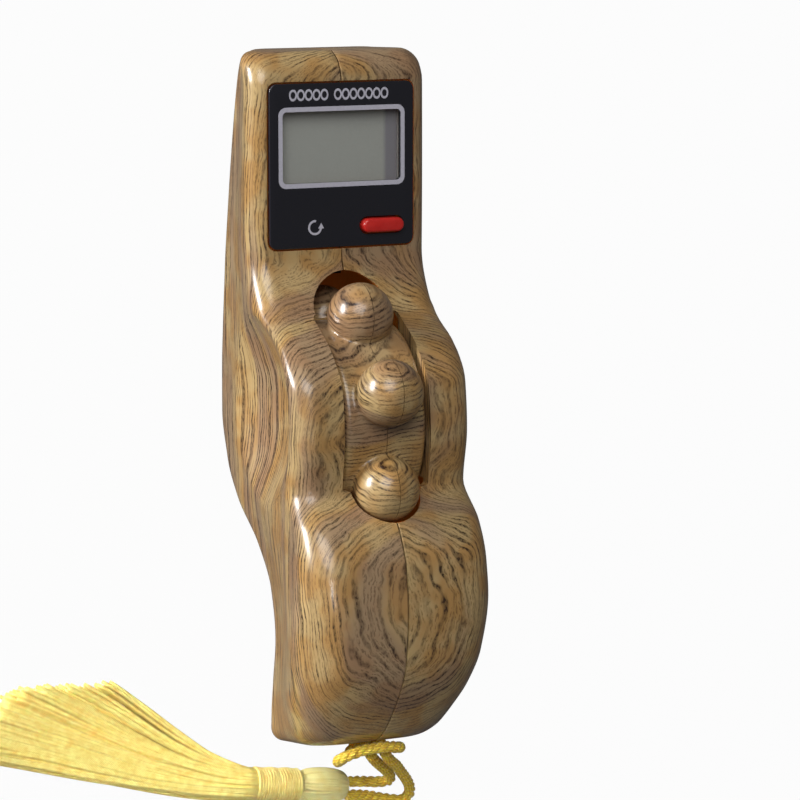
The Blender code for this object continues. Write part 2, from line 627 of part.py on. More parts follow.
beads = cutter("beads", beads_mesh(), WHEEL)
bore = AXLE_RADIUS + GAP
for side, name in ((-1, "wheel_left_half"), (1, "wheel_right_half")):
    inside, outside = -side * 0.002, side * DRUM_HALF_WIDTH
    web = outside - side * DRUM_WALL
    rim = DRUM_RADIUS - DRUM_WALL
    half = part(name, turned_mesh([
        (inside, bore), (outside, bore), (outside, DRUM_RADIUS - DRUM_CHAMFER),
        (outside - side * DRUM_CHAMFER, DRUM_RADIUS), (inside, DRUM_RADIUS), (inside, rim),
        (web, rim), (web, HUB_RADIUS), (inside, HUB_RADIUS)]), wheel_print, WHEEL)
    boolean(half, beads, 'UNION')
    low, high = sorted((side * SEAM / 2, -side * FAR))
    boolean(half, cutter(name + "_parting", box_mesh((low, -FAR, -FAR), (high, FAR, FAR)), WHEEL))
    washer_low = AXLE_BOSS_START - GAP - WASHER_THICKNESS
    part("wheel_washer_left" if side < 0 else "wheel_washer_right", turned_mesh([
        (side * washer_low, bore), (side * (washer_low + WASHER_THICKNESS), bore),
        (side * (washer_low + WASHER_THICKNESS), WASHER_RADIUS), (side * washer_low, WASHER_RADIUS)],
        16), nylon, WHEEL)
part("wheel_axle", rod_mesh((-AXLE_HALF_LENGTH, 0, 0), (AXLE_HALF_LENGTH, 0, 0), AXLE_RADIUS), steel, WHEEL)
for number in range(BEAD_COUNT):
    outward = bead_place(number)
    top = BEAD_RING - BEAD_RADIUS - GAP
    part(f"wheel_magnet_{number + 1}", rod_mesh(outward * (top - MAGNET_LENGTH), outward * top,
                                                MAGNET_RADIUS, sides=12), magnet_grey, WHEEL)

# Display label, with its window and button slot
label_black = material("gloss_black_acrylic", (0.015, 0.015, 0.020), 0.12)
label = part("display_label", prism_mesh(
    rounded_outline(LABEL_WIDTH, LABEL_LENGTH, LABEL_CORNER, (0, LABEL_HEAD_END - LABEL_LENGTH / 2)),
    LABEL_BOTTOM, LABEL_TOP), label_black)
label_window = cutter("label_window", prism_mesh(
    rounded_outline(WINDOW_WIDTH, WINDOW_LENGTH, WINDOW_CORNER, (0, WINDOW_Y)), SLOT_FLOOR, FAR))
boolean(label, label_window)
boolean(label, button_hole)

# Window lens and liquid-crystal cell, in a holder on the board
clear = material("clear_acrylic", (0.80, 0.82, 0.80), 0.05)
lens_top = LABEL_BOTTOM - GAP
part("window_lens", prism_mesh(
    rounded_outline(WINDOW_WIDTH + 2 * (WINDOW_STEP - GAP), WINDOW_LENGTH + 2 * (WINDOW_STEP - GAP),
                    WINDOW_CORNER, (0, WINDOW_Y)), lens_top - LENS_THICKNESS, lens_top), clear)
lcd_grey = material("liquid_crystal_glass", (0.27, 0.27, 0.23), 0.2)
holder_top = INNER_FACE - HOLDER_SET
holder_low = BOARD_TOP + GAP
glass_top = INNER_FACE - GLASS_SET
glass_low = glass_top - GLASS_THICKNESS


def plate(width, length, low, high):
    return box_mesh((-width / 2, WINDOW_Y - length / 2, low), (width / 2, WINDOW_Y + length / 2, high))


part("lcd_glass", plate(GLASS_WIDTH, GLASS_LENGTH, glass_low, glass_top), lcd_grey)
pocket_width, pocket_length = GLASS_WIDTH + 2 * GAP, GLASS_LENGTH + 2 * GAP
holder = part("lcd_holder", plate(pocket_width + 2 * HOLDER_WALL, pocket_length + 2 * HOLDER_WALL,
                                  holder_low, holder_top), nylon)
boolean(holder, cutter("holder_pocket", plate(pocket_width, pocket_length, glass_low - GAP, FAR)))
boolean(holder, cutter("holder_floor", plate(pocket_width - 2 * HOLDER_LEDGE,
                                             pocket_length - 2 * HOLDER_LEDGE, 0, FAR)))
zebra_y = WINDOW_Y - pocket_length / 2 + HOLDER_LEDGE + GAP + ZEBRA_LENGTH / 2
part("zebra_strip", box_mesh((-ZEBRA_WIDTH / 2, zebra_y - ZEBRA_LENGTH / 2, BOARD_TOP + GAP),
                             (ZEBRA_WIDTH / 2, zebra_y + ZEBRA_LENGTH / 2, glass_low - GAP)),
     material("striped_elastomer", (0.20, 0.10, 0.11), 0.6))

# Circuit board, hung from a post in each shell
board_green = material("circuit_board", (0.03, 0.16, 0.06), 0.4)
board_low = BOARD_TOP - BOARD_THICKNESS
board = part("main_board", box_mesh((-BOARD_HALF_WIDTH, BOARD_FOOT_END, board_low),
                                    (BOARD_HALF_WIDTH, BOARD_HEAD_END, BOARD_TOP)), board_green)


def screw_mesh(under_head, tip, shank_radius, head_radius, head_height):
    """A pan-head screw from the seat of its head to its tip."""
    under_head, tip = Vector(under_head), Vector(tip)
    back = (under_head - tip).normalized()
    length = (under_head - tip).length
    mesh = turned_mesh([(-length, 0.0), (-length, shank_radius * 0.6),
                        (-length + shank_radius, shank_radius), (0, shank_radius), (0, head_radius),
                        (head_height * 0.6, head_radius), (head_height, head_radius * 0.7),
                        (head_height, 0.0)], 14, closed=False)
    mesh.transform(Matrix.Translation(under_head) @ back.to_track_quat('X', 'Z').to_matrix().to_4x4())
    return mesh


for side, name in ((-1, "board_screw_left"), (1, "board_screw_right")):
    spot = (side * POST_X, POSTS[side])
    boolean(board, cutter(name + "_clear", rod_mesh((*spot, 0), (*spot, FAR), SMALL_SHANK_RADIUS + GAP,
                                                    sides=16)))
    part(name, screw_mesh((*spot, board_low - GAP), (*spot, INNER_FACE - 3 * GAP), SMALL_SHANK_RADIUS,
                          SMALL_HEAD_RADIUS, SMALL_HEAD_HEIGHT), steel)
blob_base = board_low - GAP
part("chip_blob", rod_mesh((BLOB_X, BLOB_Y, blob_base), (BLOB_X, BLOB_Y, blob_base - BLOB_HEIGHT),
                           BLOB_RADIUS, BLOB_RADIUS * 0.55), material("black_epoxy", (0.02, 0.02, 0.02), 0.5))

# Reset button over its silicone pad
red = material("red_gloss_abs", (0.60, 0.02, 0.03), 0.25)
flange_top = INNER_FACE - GAP - CROWN
flange_low = flange_top - FLANGE_THICKNESS
button_top = LABEL_TOP + BUTTON_PROUD
BUTTON = empty("button_axis", (BUTTON_X, BUTTON_Y, flange_low), parent=BODY)


def button_outline(width, length):
    return rounded_outline(width, length, length / 2 * 0.98, steps=5)


cap = cutter("button_cap", prism_mesh(button_outline(BUTTON_LENGTH, BUTTON_WIDTH), FLANGE_THICKNESS / 2,
                                      button_top - flange_low), BUTTON)
edge = cap.modifiers.new("edge", 'BEVEL')
edge.width = BUTTON_EDGE
edge.segments = 2
edge.limit_method = 'ANGLE'
button = part("reset_button", prism_mesh(
    button_outline(BUTTON_LENGTH + 2 * FLANGE_MARGIN, BUTTON_WIDTH + 2 * FLANGE_MARGIN),
    0, FLANGE_THICKNESS), red, BUTTON)
boolean(button, cap, 'UNION')
boolean(button, cutter("button_plunger", rod_mesh((0, 0, FLANGE_THICKNESS / 2), (0, 0, -PLUNGER_LENGTH),
                                                  PLUNGER_RADIUS), BUTTON), 'UNION')
part("reset_pad", rod_mesh((BUTTON_X, BUTTON_Y, BOARD_TOP + GAP),
                           (BUTTON_X, BUTTON_Y, flange_low - PLUNGER_LENGTH - GAP),
                           PAD_RADIUS, PAD_RADIUS * 0.7, 20),
     material("grey_silicone", (0.35, 0.35, 0.36), 0.7))

# Button cell in its tray, between the back wall and the board
cell_low = 2 * GAP
cell_top = cell_low + CELL_HEIGHT
contact_top = cell_top + GAP + CONTACT_THICKNESS
roof_low = contact_top + GAP
tray_top = roof_low + TRAY_ROOF
clip_y = -CELL_RADIUS - GAP
brass = material("tinned_brass", (0.60, 0.52, 0.35), 0.35, 1.0)
tray = part("battery_tray", box_mesh((-TRAY_HALF_WIDTH, -TRAY_HALF_LENGTH, GAP),
                                     (TRAY_HALF_WIDTH, TRAY_HALF_LENGTH, tray_top)), nylon, BATTERY)
boolean(tray, cutter("cell_pocket", rod_mesh((0, 0, -0.001), (0, 0, roof_low), CELL_RADIUS + GAP,
                                             sides=32), BATTERY))
boolean(tray, cutter("clip_slot", box_mesh(
    (-CONTACT_WIDTH / 2 - GAP, clip_y - CONTACT_THICKNESS - GAP, -0.001),
    (CONTACT_WIDTH / 2 + GAP, clip_y / 2, tray_top + 0.001)), BATTERY))
boolean(tray, cutter("wire_hole", rod_mesh((*WIRE_HOLE, cell_top), (*WIRE_HOLE, FAR), 2 * WIRE_RADIUS,
                                           sides=16), BATTERY))
part("battery_cell", rod_mesh((0, 0, cell_low), (0, 0, cell_top), CELL_RADIUS, sides=32), steel, BATTERY)
part("battery_contact_neg", box_mesh((-CONTACT_WIDTH / 2, clip_y / 2 + 2 * GAP, cell_top + GAP),
                                     (CONTACT_WIDTH / 2, CELL_RADIUS * 0.8, contact_top)), brass, BATTERY)
part("battery_contact_pos", box_mesh((-CONTACT_WIDTH / 2, clip_y - CONTACT_THICKNESS, cell_low),
                                     (CONTACT_WIDTH / 2, clip_y, tray_top)), brass, BATTERY)


# Battery cap, turned with a coin, its plug under the cell
cap_mesh = turned_mesh([(-CAP_DEPTH, 0.0), (-CAP_DEPTH, CAP_RADIUS), (0.0, CAP_RADIUS),
                        (0.0, CAP_PLUG_RADIUS), (GAP, CAP_PLUG_RADIUS), (GAP, 0.0)], 32, closed=False)
cap_mesh.transform(Matrix.Rotation(-math.pi / 2, 4, 'Y'))
battery_cap = part("battery_cap", cap_mesh, wood_print, BATTERY)
boolean(battery_cap, cutter("coin_groove", box_mesh((-CAP_RADIUS * 0.7, -COIN_GROOVE / 2, -0.004),
                                                    (CAP_RADIUS * 0.7, COIN_GROOVE / 2, -CAP_DEPTH * 0.65)),
                            BATTERY))

# Case screws, from the right side into the left
for spot, (y, z) in CASE_SCREWS.items():
    part("case_screw_" + spot, screw_mesh((SCREW_SEAT_X + GAP, y, z), (-SCREW_REACH, y, z),
                                          SCREW_SHANK_RADIUS, SCREW_HEAD_RADIUS, SCREW_HEAD_HEIGHT), steel)

# Count sensor, upright between the side walls
sensor_low = SENSOR_Y - SENSOR_THICKNESS / 2
sensor_high = SENSOR_Y + SENSOR_THICKNESS / 2
part("sensor_board", box_mesh((-SENSOR_HALF_WIDTH, sensor_low, SENSOR_FLOOR),
                              (SENSOR_HALF_WIDTH, sensor_high, SENSOR_FLOOR + SENSOR_HEIGHT)), board_green)
reed_z = SENSOR_FLOOR + SENSOR_HEIGHT * 0.65
part("reed_switch", box_mesh((-REED_HALF_LENGTH, sensor_low - GAP - REED_SIZE, reed_z - REED_SIZE / 2),
                             (REED_HALF_LENGTH, sensor_low - GAP, reed_z + REED_SIZE / 2)),
     material("black_moulding", (0.02, 0.02, 0.02), 0.4))


def smooth_points(route, count):
    """Points at equal distances along a smooth curve through the route."""
    places = [Vector(place) for place in route]
    padded = [2 * places[0] - places[1]] + places + [2 * places[-1] - places[-2]]
    fine = []
    for p0, p1, p2, p3 in zip(padded, padded[1:], padded[2:], padded[3:]):
        for step in range(12):
            t = step / 12
            fine.append((2 * p1 + (p2 - p0) * t + (2 * p0 - 5 * p1 + 4 * p2 - p3) * t * t
                         + (3 * p1 - p0 - 3 * p2 + p3) * t**3) / 2)
    fine.append(places[-1])
    along = [0.0]
    for first, second in zip(fine, fine[1:]):
        along.append(along[-1] + (second - first).length)
    points, index = [], 0
    for number in range(count):
        wanted = along[-1] * number / (count - 1)
        while index < len(fine) - 2 and along[index + 1] < wanted:
            index += 1
        share = (wanted - along[index]) / (along[index + 1] - along[index])
        points.append(fine[index].lerp(fine[index + 1], min(1.0, share)))
    return points


# Wires
wire_red = material("red_wire", (0.55, 0.03, 0.03), 0.5)
wire_black = material("black_wire", (0.02, 0.02, 0.02), 0.5)
wire_top = board_low - GAP


def on_battery(x, y, z):
    return Matrix.Rotation(BATTERY_TILT, 3, 'X') @ Vector((x, y, z)) + Vector((0, BATTERY_Y, BATTERY_SEAT))


strip_top = on_battery(0, clip_y - CONTACT_THICKNESS / 2, tray_top + GAP)
tube("battery_wire_pos", smooth_points([
    strip_top, strip_top + Vector((0.0001, -0.0001, 0.0005)),
    (0.0009, strip_top.y - 0.0010, wire_top - 0.0009),
    (0.0015, strip_top.y - 0.0018, wire_top - 0.0006), (0.0015, strip_top.y - 0.0018, wire_top)], 9),
    WIRE_RADIUS, wire_red, BODY)
tube("battery_wire_neg", [on_battery(*WIRE_HOLE, contact_top + GAP),
                          on_battery(*WIRE_HOLE, contact_top + GAP + 0.0021)], WIRE_RADIUS, wire_black, BODY)
for side, name, look in ((-1, "sensor_wire_left", wire_black), (1, "sensor_wire_right", wire_red)):
    x = side * REED_HALF_LENGTH
    tube(name, smooth_points([
        (x, sensor_high + GAP, wire_top - 0.0024), (x, sensor_high + 0.0010, wire_top - 0.0024),
        (x, BOARD_FOOT_END + 0.0004, wire_top - 0.0018), (x, BOARD_FOOT_END + 0.0012, wire_top - 0.0009),
        (x, BOARD_FOOT_END + 0.0012, wire_top)], 10), WIRE_RADIUS, look, BODY)

# Tassel, tied through the hole in the foot
yellow = material("yellow_silk_cord", (0.82, 0.62, 0.10), 0.45)
part("lanyard_pin", rod_mesh((-PIN_HALF_LENGTH, PIN_Y, PIN_Z), (PIN_HALF_LENGTH, PIN_Y, PIN_Z),
                             PIN_RADIUS), steel)
cord_points = smooth_points([(x * 0.001, y * 0.001 + LIE_SHIFT, z * 0.001) for x, y, z in CORD_ROUTE],
                            CORD_POINTS)
tube("tassel_cord", cord_points, CORD_RADIUS, yellow, None)
head_end = HEAD_START + HEAD_LENGTH
part("tassel_head", turned_mesh([
    (HEAD_START, 0.0), (HEAD_START, HEAD_RADIUS * 0.35), (HEAD_START + HEAD_LENGTH * 0.04, HEAD_RADIUS * 0.6),
    (HEAD_START + HEAD_LENGTH * 0.14, HEAD_RADIUS * 0.84),
    (HEAD_START + HEAD_LENGTH * 0.30, HEAD_RADIUS * 0.97),
    (HEAD_START + HEAD_LENGTH * 0.55, HEAD_RADIUS), (HEAD_START + HEAD_LENGTH * 0.82, HEAD_RADIUS * 0.96),
    (HEAD_START + HEAD_LENGTH * 0.95, HEAD_RADIUS * 0.86), (head_end, HEAD_RADIUS * 0.72), (head_end, 0.0)],
    32, closed=False), yellow, TASSEL)
coil = NECK_RADIUS + GAP + BINDING_WIRE
coil_points = [Vector((BINDING_START + BINDING_PITCH * i / 24, coil * math.cos(math.tau * i / 24),
                       coil * math.sin(math.tau * i / 24))) for i in range(24 * BINDING_LOOPS + 1)]
leads = [(coil_points[0] - coil_points[1]).normalized(), (coil_points[-1] - coil_points[-2]).normalized()]
coil_points.insert(0, coil_points[0] + leads[0] * 2 * BINDING_WIRE)
coil_points.append(coil_points[-1] + leads[1] * 2 * BINDING_WIRE)
tube("tassel_binding", coil_points, BINDING_WIRE, yellow, TASSEL, resolution=1)


def fringe_mesh():
    """The neck under the binding, then the strands fanned out on the table."""
    table = 0.0001 - TASSEL_AXIS
    rows = [(head_end + GAP, NECK_RADIUS, -NECK_RADIUS, -NECK_RADIUS, NECK_RADIUS, 0.0)]
    neck_end = BINDING_START + BINDING_LOOPS * BINDING_PITCH
    rows.append((neck_end, NECK_RADIUS, -NECK_RADIUS, -NECK_RADIUS, NECK_RADIUS, 0.0))
    for distance, near, far, height in FRINGE:
        rows.append((distance, near, far, table, height - TASSEL_AXIS, FLUTE_DEPTH))
    bm = bmesh.new()
    rings = []
    sides = 44
    for distance, near, far, low, high, flute in rows:
        ring = []
        for i in range(sides):
            angle = math.tau * i / sides
            across = math.copysign(abs(math.cos(angle)) ** (0.8 if flute else 1.0), math.cos(angle))
            up = math.copysign(abs(math.sin(angle)) ** (0.8 if flute else 1.0), math.sin(angle))
            ripple = flute * math.cos(math.pi * FLUTES * across) * max(0.0, math.sin(angle))
            ring.append(bm.verts.new((distance, (near + far) / 2 + (near - far) / 2 * across,
                                      (low + high) / 2 + (high - low) / 2 * up - ripple)))
        rings.append(ring)
    for first, second in zip(rings, rings[1:]):
        for i in range(sides):
            j = (i + 1) % sides
            bm.faces.new((first[i], first[j], second[j], second[i]))
    bm.faces.new(rings[0])
    bm.faces.new(rings[-1])
    return finish_mesh(bm, "fringe")


part("tassel_fringe", fringe_mesh(), yellow, TASSEL)


def clearance(points, radius, apart):
    """Smallest gap between stretches of a tube that are further than apart along it."""
    along = [0.0]
    for first, second in zip(points, points[1:]):
        along.append(along[-1] + (second - first).length)
    return min((points[i] - points[j]).length for i in range(len(points)) for j in range(i)
               if along[i] - along[j] > apart) - 2 * radius


print("binding gap to itself mm", round(clearance(coil_points[1:-1], BINDING_WIRE, 6 * coil / 1.1) * 1000, 3))
print("cord gap to itself mm", round(clearance(cord_points, CORD_RADIUS, 0.0060) * 1000, 3))
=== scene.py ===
"""Scene for a hand-held bead counter that lies on its back, with its tassel beside it."""
import math
import random

import bmesh
import bpy
from mathutils import Matrix, Vector


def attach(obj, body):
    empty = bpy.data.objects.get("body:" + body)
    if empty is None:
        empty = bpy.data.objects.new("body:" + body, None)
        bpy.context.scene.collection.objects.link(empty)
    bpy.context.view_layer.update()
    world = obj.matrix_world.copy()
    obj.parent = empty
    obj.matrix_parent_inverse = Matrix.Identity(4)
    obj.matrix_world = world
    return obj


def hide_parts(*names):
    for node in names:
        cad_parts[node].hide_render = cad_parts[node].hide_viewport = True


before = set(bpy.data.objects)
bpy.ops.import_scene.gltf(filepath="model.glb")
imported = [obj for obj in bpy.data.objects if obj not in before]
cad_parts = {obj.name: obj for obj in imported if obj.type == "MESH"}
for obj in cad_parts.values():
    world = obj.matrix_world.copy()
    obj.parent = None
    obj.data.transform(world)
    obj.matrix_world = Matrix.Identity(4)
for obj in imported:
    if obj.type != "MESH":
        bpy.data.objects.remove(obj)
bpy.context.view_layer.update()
scene = bpy.context.scene
scene.view_settings.view_transform = 'Standard'

# Camera. The photograph was taken from the front left, about half a metre away, with a long
# lens. The body is tilted 20 degrees on the table, so its own axes are turned with it.
MM = 0.001
SHIFT, TILT = (0, -0.04915, -0.0181), math.radians(20)
LIE = Matrix.Translation(SHIFT) @ Matrix.Rotation(TILT, 4, 'X')
around, above, distance = math.radians(25), math.radians(9), 0.548
aim_right, aim_up, aim_out = 0.0196, 0.0556, 0.0368
image_right = Vector((math.cos(around), 0, math.sin(around)))
image_up = Vector((math.sin(around) * math.sin(above), math.cos(above),
                   -math.cos(around) * math.sin(above)))
towards_camera = image_right.cross(image_up)
aim = image_right * aim_right + image_up * aim_up + towards_camera * aim_out
lens_seat = Matrix((image_right, image_up, towards_camera)).transposed().to_4x4()
lens_seat.translation = aim + towards_camera * distance
camera_data = bpy.data.cameras.new("camera")
camera_data.lens = 152.9
camera_data.sensor_width = 36
camera = bpy.data.objects.new("camera", camera_data)
scene.collection.objects.link(camera)
camera.matrix_world = LIE @ lens_seat
scene.camera = camera

# Cord. A silky three-ply cord, 1.9 mm thick, goes from the tassel's head into the foot, round a
# pin, and back, tied with a lark's head. Each ply is a tube twisted round the cord's line.
CORD_ROUTE = [
    (0.8, -12.5, 3.3), (3.0, -12.6, 2.8), (5.3, -12.9, 2.6), (7.0, -13.1, 2.9), (7.8, -13.0, 4.2),
    (7.2, -12.3, 6.0), (5.6, -11.5, 8.2), (3.6, -10.7, 10.6), (1.7, -9.8, 12.9), (0.2, -8.6, 14.8),
    (-0.8, -7.1, 16.2), (-1.3, -5.4, 17.4), (-1.3, -3.6, 18.8), (-1.3, -1.7, 19.8),
    (-1.3, 0.3, 19.5), (-1.3, 1.0, 17.5), (-1.3, -0.5, 15.8), (-1.3, -2.6, 15.3),
    (-1.3, -4.8, 14.9), (-1.6, -6.8, 14.4), (-2.9, -8.6, 13.5), (-4.6, -9.5, 13.9),
    (-5.7, -9.7, 15.4), (-5.6, -9.4, 17.3), (-4.3, -9.0, 18.6), (-2.2, -8.6, 19.1),
    (0.2, -8.5, 19.0), (2.5, -8.5, 18.4), (4.4, -8.7, 17.3), (5.4, -8.6, 15.5), (4.6, -8.4, 13.9),
    (2.9, -8.0, 13.6), (1.6, -7.0, 14.0), (1.2, -4.6, 14.6), (1.3, -2.6, 15.3), (1.3, -0.5, 15.8),
    (1.3, 1.0, 17.5), (1.3, 0.3, 19.5), (1.3, -1.7, 19.8), (1.3, -3.6, 18.8), (1.3, -5.6, 17.4),
    (1.8, -7.7, 16.6), (3.0, -9.5, 15.2), (4.6, -10.6, 13.3), (6.4, -11.2, 11.0), (8.3, -12.3, 8.4),
    (10.1, -13.4, 6.0), (11.4, -14.5, 3.9), (11.9, -15.6, 2.2), (11.0, -16.4, 1.3),
    (9.2, -16.2, 1.1), (7.2, -15.7, 1.1), (5.3, -15.2, 1.4), (3.0, -14.8, 2.0), (0.5, -14.6, 2.5),
]


def smooth_line(route, count):
    """Points at equal distances along a smooth curve through the route."""
    places = [Vector(place) for place in route]
    padded = [2 * places[0] - places[1]] + places + [2 * places[-1] - places[-2]]
    fine = []
    for p0, p1, p2, p3 in zip(padded, padded[1:], padded[2:], padded[3:]):
        for step in range(16):
            t = step / 16
            fine.append((2 * p1 + (p2 - p0) * t + (2 * p0 - 5 * p1 + 4 * p2 - p3) * t * t
                         + (3 * p1 - p0 - 3 * p2 + p3) * t**3) / 2)
    fine.append(places[-1])
    along = [0.0]
    for first, second in zip(fine, fine[1:]):
        along.append(along[-1] + (second - first).length)
    points, index = [], 0
    for number in range(count):
        wanted = along[-1] * number / (count - 1)
        while index < len(fine) - 2 and along[index + 1] < wanted:
            index += 1
        share = (wanted - along[index]) / (along[index + 1] - along[index])
        points.append(fine[index].lerp(fine[index + 1], min(1.0, share)))
    return points


def sides_of(points):
    """Two directions square to the line at each point, carried along it without twisting."""
    ahead = [(points[min(i + 1, len(points) - 1)] - points[max(i - 1, 0)]).normalized()
             for i in range(len(points))]
    across = ahead[0].orthogonal().normalized()
    frames = []
    for direction in ahead:
        across = (across - direction * across.dot(direction)).normalized()
        frames.append((across, direction.cross(across)))
    return frames


def add_yarn(bm, points, radius, ring=8):
    """A capped tube along points, with a map: once round across it, millimetres along it."""
    thread_map = bm.loops.layers.uv.verify()
    frames, rings, along = sides_of(points), [], 0.0
    for number, (point, (across, up)) in enumerate(zip(points, frames)):
        if number:
            along += (point - points[number - 1]).length * 1000
        rings.append((along, [bm.verts.new(point + (across * math.cos(math.tau * i / ring)
                                                    + up * math.sin(math.tau * i / ring)) * radius)
                              for i in range(ring)]))
    for (low, first), (high, second) in zip(rings, rings[1:]):
        for i in range(ring):
            j = (i + 1) % ring
            face = bm.faces.new((first[i], first[j], second[j], second[i]))
            face.smooth = True
            for loop, (u, v) in zip(face.loops, ((i, low), (i + 1, low), (i + 1, high), (i, high))):
                loop[thread_map].uv = (u / ring, v)
    bm.faces.new(list(reversed(rings[0][1])))
    bm.faces.new(rings[-1][1])


def piece_from(bm, name):
    """A mesh that was made by hand, as an object of its own."""
    mesh = bpy.data.meshes.new(name)
    bm.to_mesh(mesh)
    bm.free()
    made = bpy.data.objects.new(name, mesh)
    scene.collection.objects.link(made)
    return made


def linear(code):
    """An sRGB hex colour as the linear values that a shader takes."""
    channels = [int(code[i:i + 2], 16) / 255 for i in (1, 3, 5)]
    return (*[c / 12.92 if c <= 0.04045 else ((c + 0.055) / 1.055) ** 2.4 for c in channels], 1.0)


def add(tree, kind, inputs=(), output=0, **settings):
    """A node with its settings. Each of its inputs is a value, a hex colour or a socket to link.
    Gives back the output that is asked for."""
    node = tree.nodes.new("ShaderNode" + kind)
    for name, value in settings.items():
        setattr(node, name, value)
    for name, value in inputs.items() if isinstance(inputs, dict) else enumerate(inputs):
        if isinstance(value, bpy.types.NodeSocket):
            tree.links.new(value, node.inputs[name])
        else:
            node.inputs[name].default_value = linear(value) if isinstance(value, str) else value
    return node.outputs[output]


def new_material(name, **values):
    """A material, its node tree and its shader, with the values set on the shader's sockets."""
    made = bpy.data.materials.new(name)
    made.use_nodes = True
    shader = made.node_tree.nodes["Principled BSDF"]
    for key, value in values.items():
        value = linear(value) if isinstance(value, str) else value
        shader.inputs[key.replace("_", " ")].default_value = value
    return made, made.node_tree, shader


def silk_yarn(name, light, deep_dye_and_shade, twist, strength):
    """Silky rayon yarn: filaments wind round the strand, five abreast, which is coarser than
    the real ones so that they show. Each filament's crest is painted pale, as a painted
    highlight, and the groove between is painted deep, as painted shade, over a bump. Twist
    is in turns a millimetre. The dye drifts a little over 1.1 mm."""
    made, tree, shader = new_material(name, Roughness=0.5, Sheen_Weight=0.25, Sheen_Roughness=0.4,
                                      Subsurface_Weight=0.15, Subsurface_Scale=0.0006)
    around_it, along_it = (add(tree, "SeparateXYZ", (add(tree, "UVMap"),), axis) for axis in "XY")
    turned = add(tree, "Math", (along_it, twist, around_it), operation='MULTIPLY_ADD')
    wrapped = add(tree, "Math", (turned, 5.0 * math.tau), operation='MULTIPLY')
    filament = add(tree, "Math", (wrapped,), operation='SINE')
    drift = add(tree, "TexNoise", {"Vector": add(tree, "TexCoord", output="Object"),
                                   "Scale": 900.0, "Detail": 3.0})
    # Painted highlight along each filament's crest and painted shade in the grooves between.
    shade = add(tree, "Math", (filament, 0.28, 0.12), operation='MULTIPLY_ADD')
    lit = add(tree, "Math", (shade, drift), operation='ADD', use_clamp=True)
    colour = add(tree, "Mix", {"Factor": lit, "A": deep_dye_and_shade, "B": light}, "Result", data_type='RGBA')
    tree.links.new(colour, shader.inputs["Base Color"])
    relief = add(tree, "Bump", {"Strength": strength, "Distance": 0.08 * MM, "Height": filament})
    tree.links.new(relief, shader.inputs["Normal"])
    return made


cord_line = smooth_line([(x / 1000, y / 1000 + SHIFT[1], z / 1000) for x, y, z in CORD_ROUTE], 420)
PLY_OFFSET, PLY_RADIUS, PLY_PITCH = 0.00047, 0.00050, 0.0040
rope = bmesh.new()
for ply in range(3):
    line, travelled = [], 0.0
    for number, (point, (across, up)) in enumerate(zip(cord_line, sides_of(cord_line))):
        if number:
            travelled += (point - cord_line[number - 1]).length
        angle = math.tau * (ply / 3 - travelled / PLY_PITCH)
        line.append(point + (across * math.cos(angle) + up * math.sin(angle)) * PLY_OFFSET)
    add_yarn(rope, line, PLY_RADIUS)
tassel_cord = piece_from(rope, "tassel_cord_rope")
cord_silk = silk_yarn("twisted_rayon_cord", "#FFE24E", "#C4850E", -0.35, 0.5)
tassel_cord.data.materials.append(cord_silk)
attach(tassel_cord, "case")
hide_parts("tassel_cord")

# Tassel. 190 silky strands are folded over the cord, bound with a thread below the fold and cut
# off below. They lie on the table and fan out away from the counter. Of the fold, 44 show.
TASSEL = (Matrix.Translation((-0.0039, -0.0125 + SHIFT[1], 0.0031))
          @ Matrix.Rotation(math.radians(172.3), 4, 'Z'))
STRANDS, STRAND_RADIUS = 190, 0.00034
FOLDED_STRANDS, FOLDED_RADIUS = 44, 0.00027
tassel_random = random.Random(4)
# Places along the head and its radius there, in millimetres.
HEAD_PROFILE = [(-4.25, 0.7), (-4.1, 1.35), (-3.5, 2.05), (-2.4, 2.52), (-0.8, 2.72), (1.0, 2.72),
                (2.6, 2.55), (3.4, 2.3), (3.9, 1.95)]
head_yarn = bmesh.new()
for number in range(FOLDED_STRANDS):
    spread = math.tau * number / FOLDED_STRANDS
    lean = tassel_random.uniform(-0.35, 0.35)
    depth = tassel_random.uniform(-0.00012, 0.00006)
    line = []
    for place, (x, radius) in enumerate(HEAD_PROFILE):
        angle = spread + lean * (place / (len(HEAD_PROFILE) - 1) - 0.5)
        line.append(TASSEL @ Vector((x / 1000, (radius / 1000 + depth) * math.cos(angle),
                                     (radius / 1000 + depth) * math.sin(angle))))
    add_yarn(head_yarn, smooth_line(line, 22), FOLDED_RADIUS, 6)
bmesh.ops.create_uvsphere(head_yarn, u_segments=20, v_segments=12, radius=0.0025,
                          matrix=TASSEL @ Matrix.Diagonal((1.6, 1, 1, 1)))
tassel_head = piece_from(head_yarn, "tassel_head_strands")
head_silk = silk_yarn("folded_rayon_strands", "#FFF7B8", "#EFD15C", 0.5, 0.35)
tassel_head.data.materials.append(head_silk)
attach(tassel_head, "case")
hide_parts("tassel_head")

binding_yarn = bmesh.new()
TURNS, TURN_PITCH, TURN_POINTS, BINDING_THREAD = 16, 0.00048, 20, 0.00026
coil = []
for number in range(TURNS * TURN_POINTS + 1):
    angle = math.tau * number / TURN_POINTS
    wound = 0.00255 + 0.00006 * math.sin(number * 0.37)
    coil.append(TASSEL @ Vector((0.0045 + TURN_PITCH * number / TURN_POINTS,
                                 wound * math.cos(angle), wound * math.sin(angle))))
add_yarn(binding_yarn, coil, BINDING_THREAD, 6)
tassel_binding = piece_from(binding_yarn, "tassel_binding_thread")
tassel_binding.data.materials.append(silk_yarn("binding_thread", "#FFF19A", "#DDAA30", 0.6, 0.3))
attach(tassel_binding, "case")
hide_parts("tassel_binding")

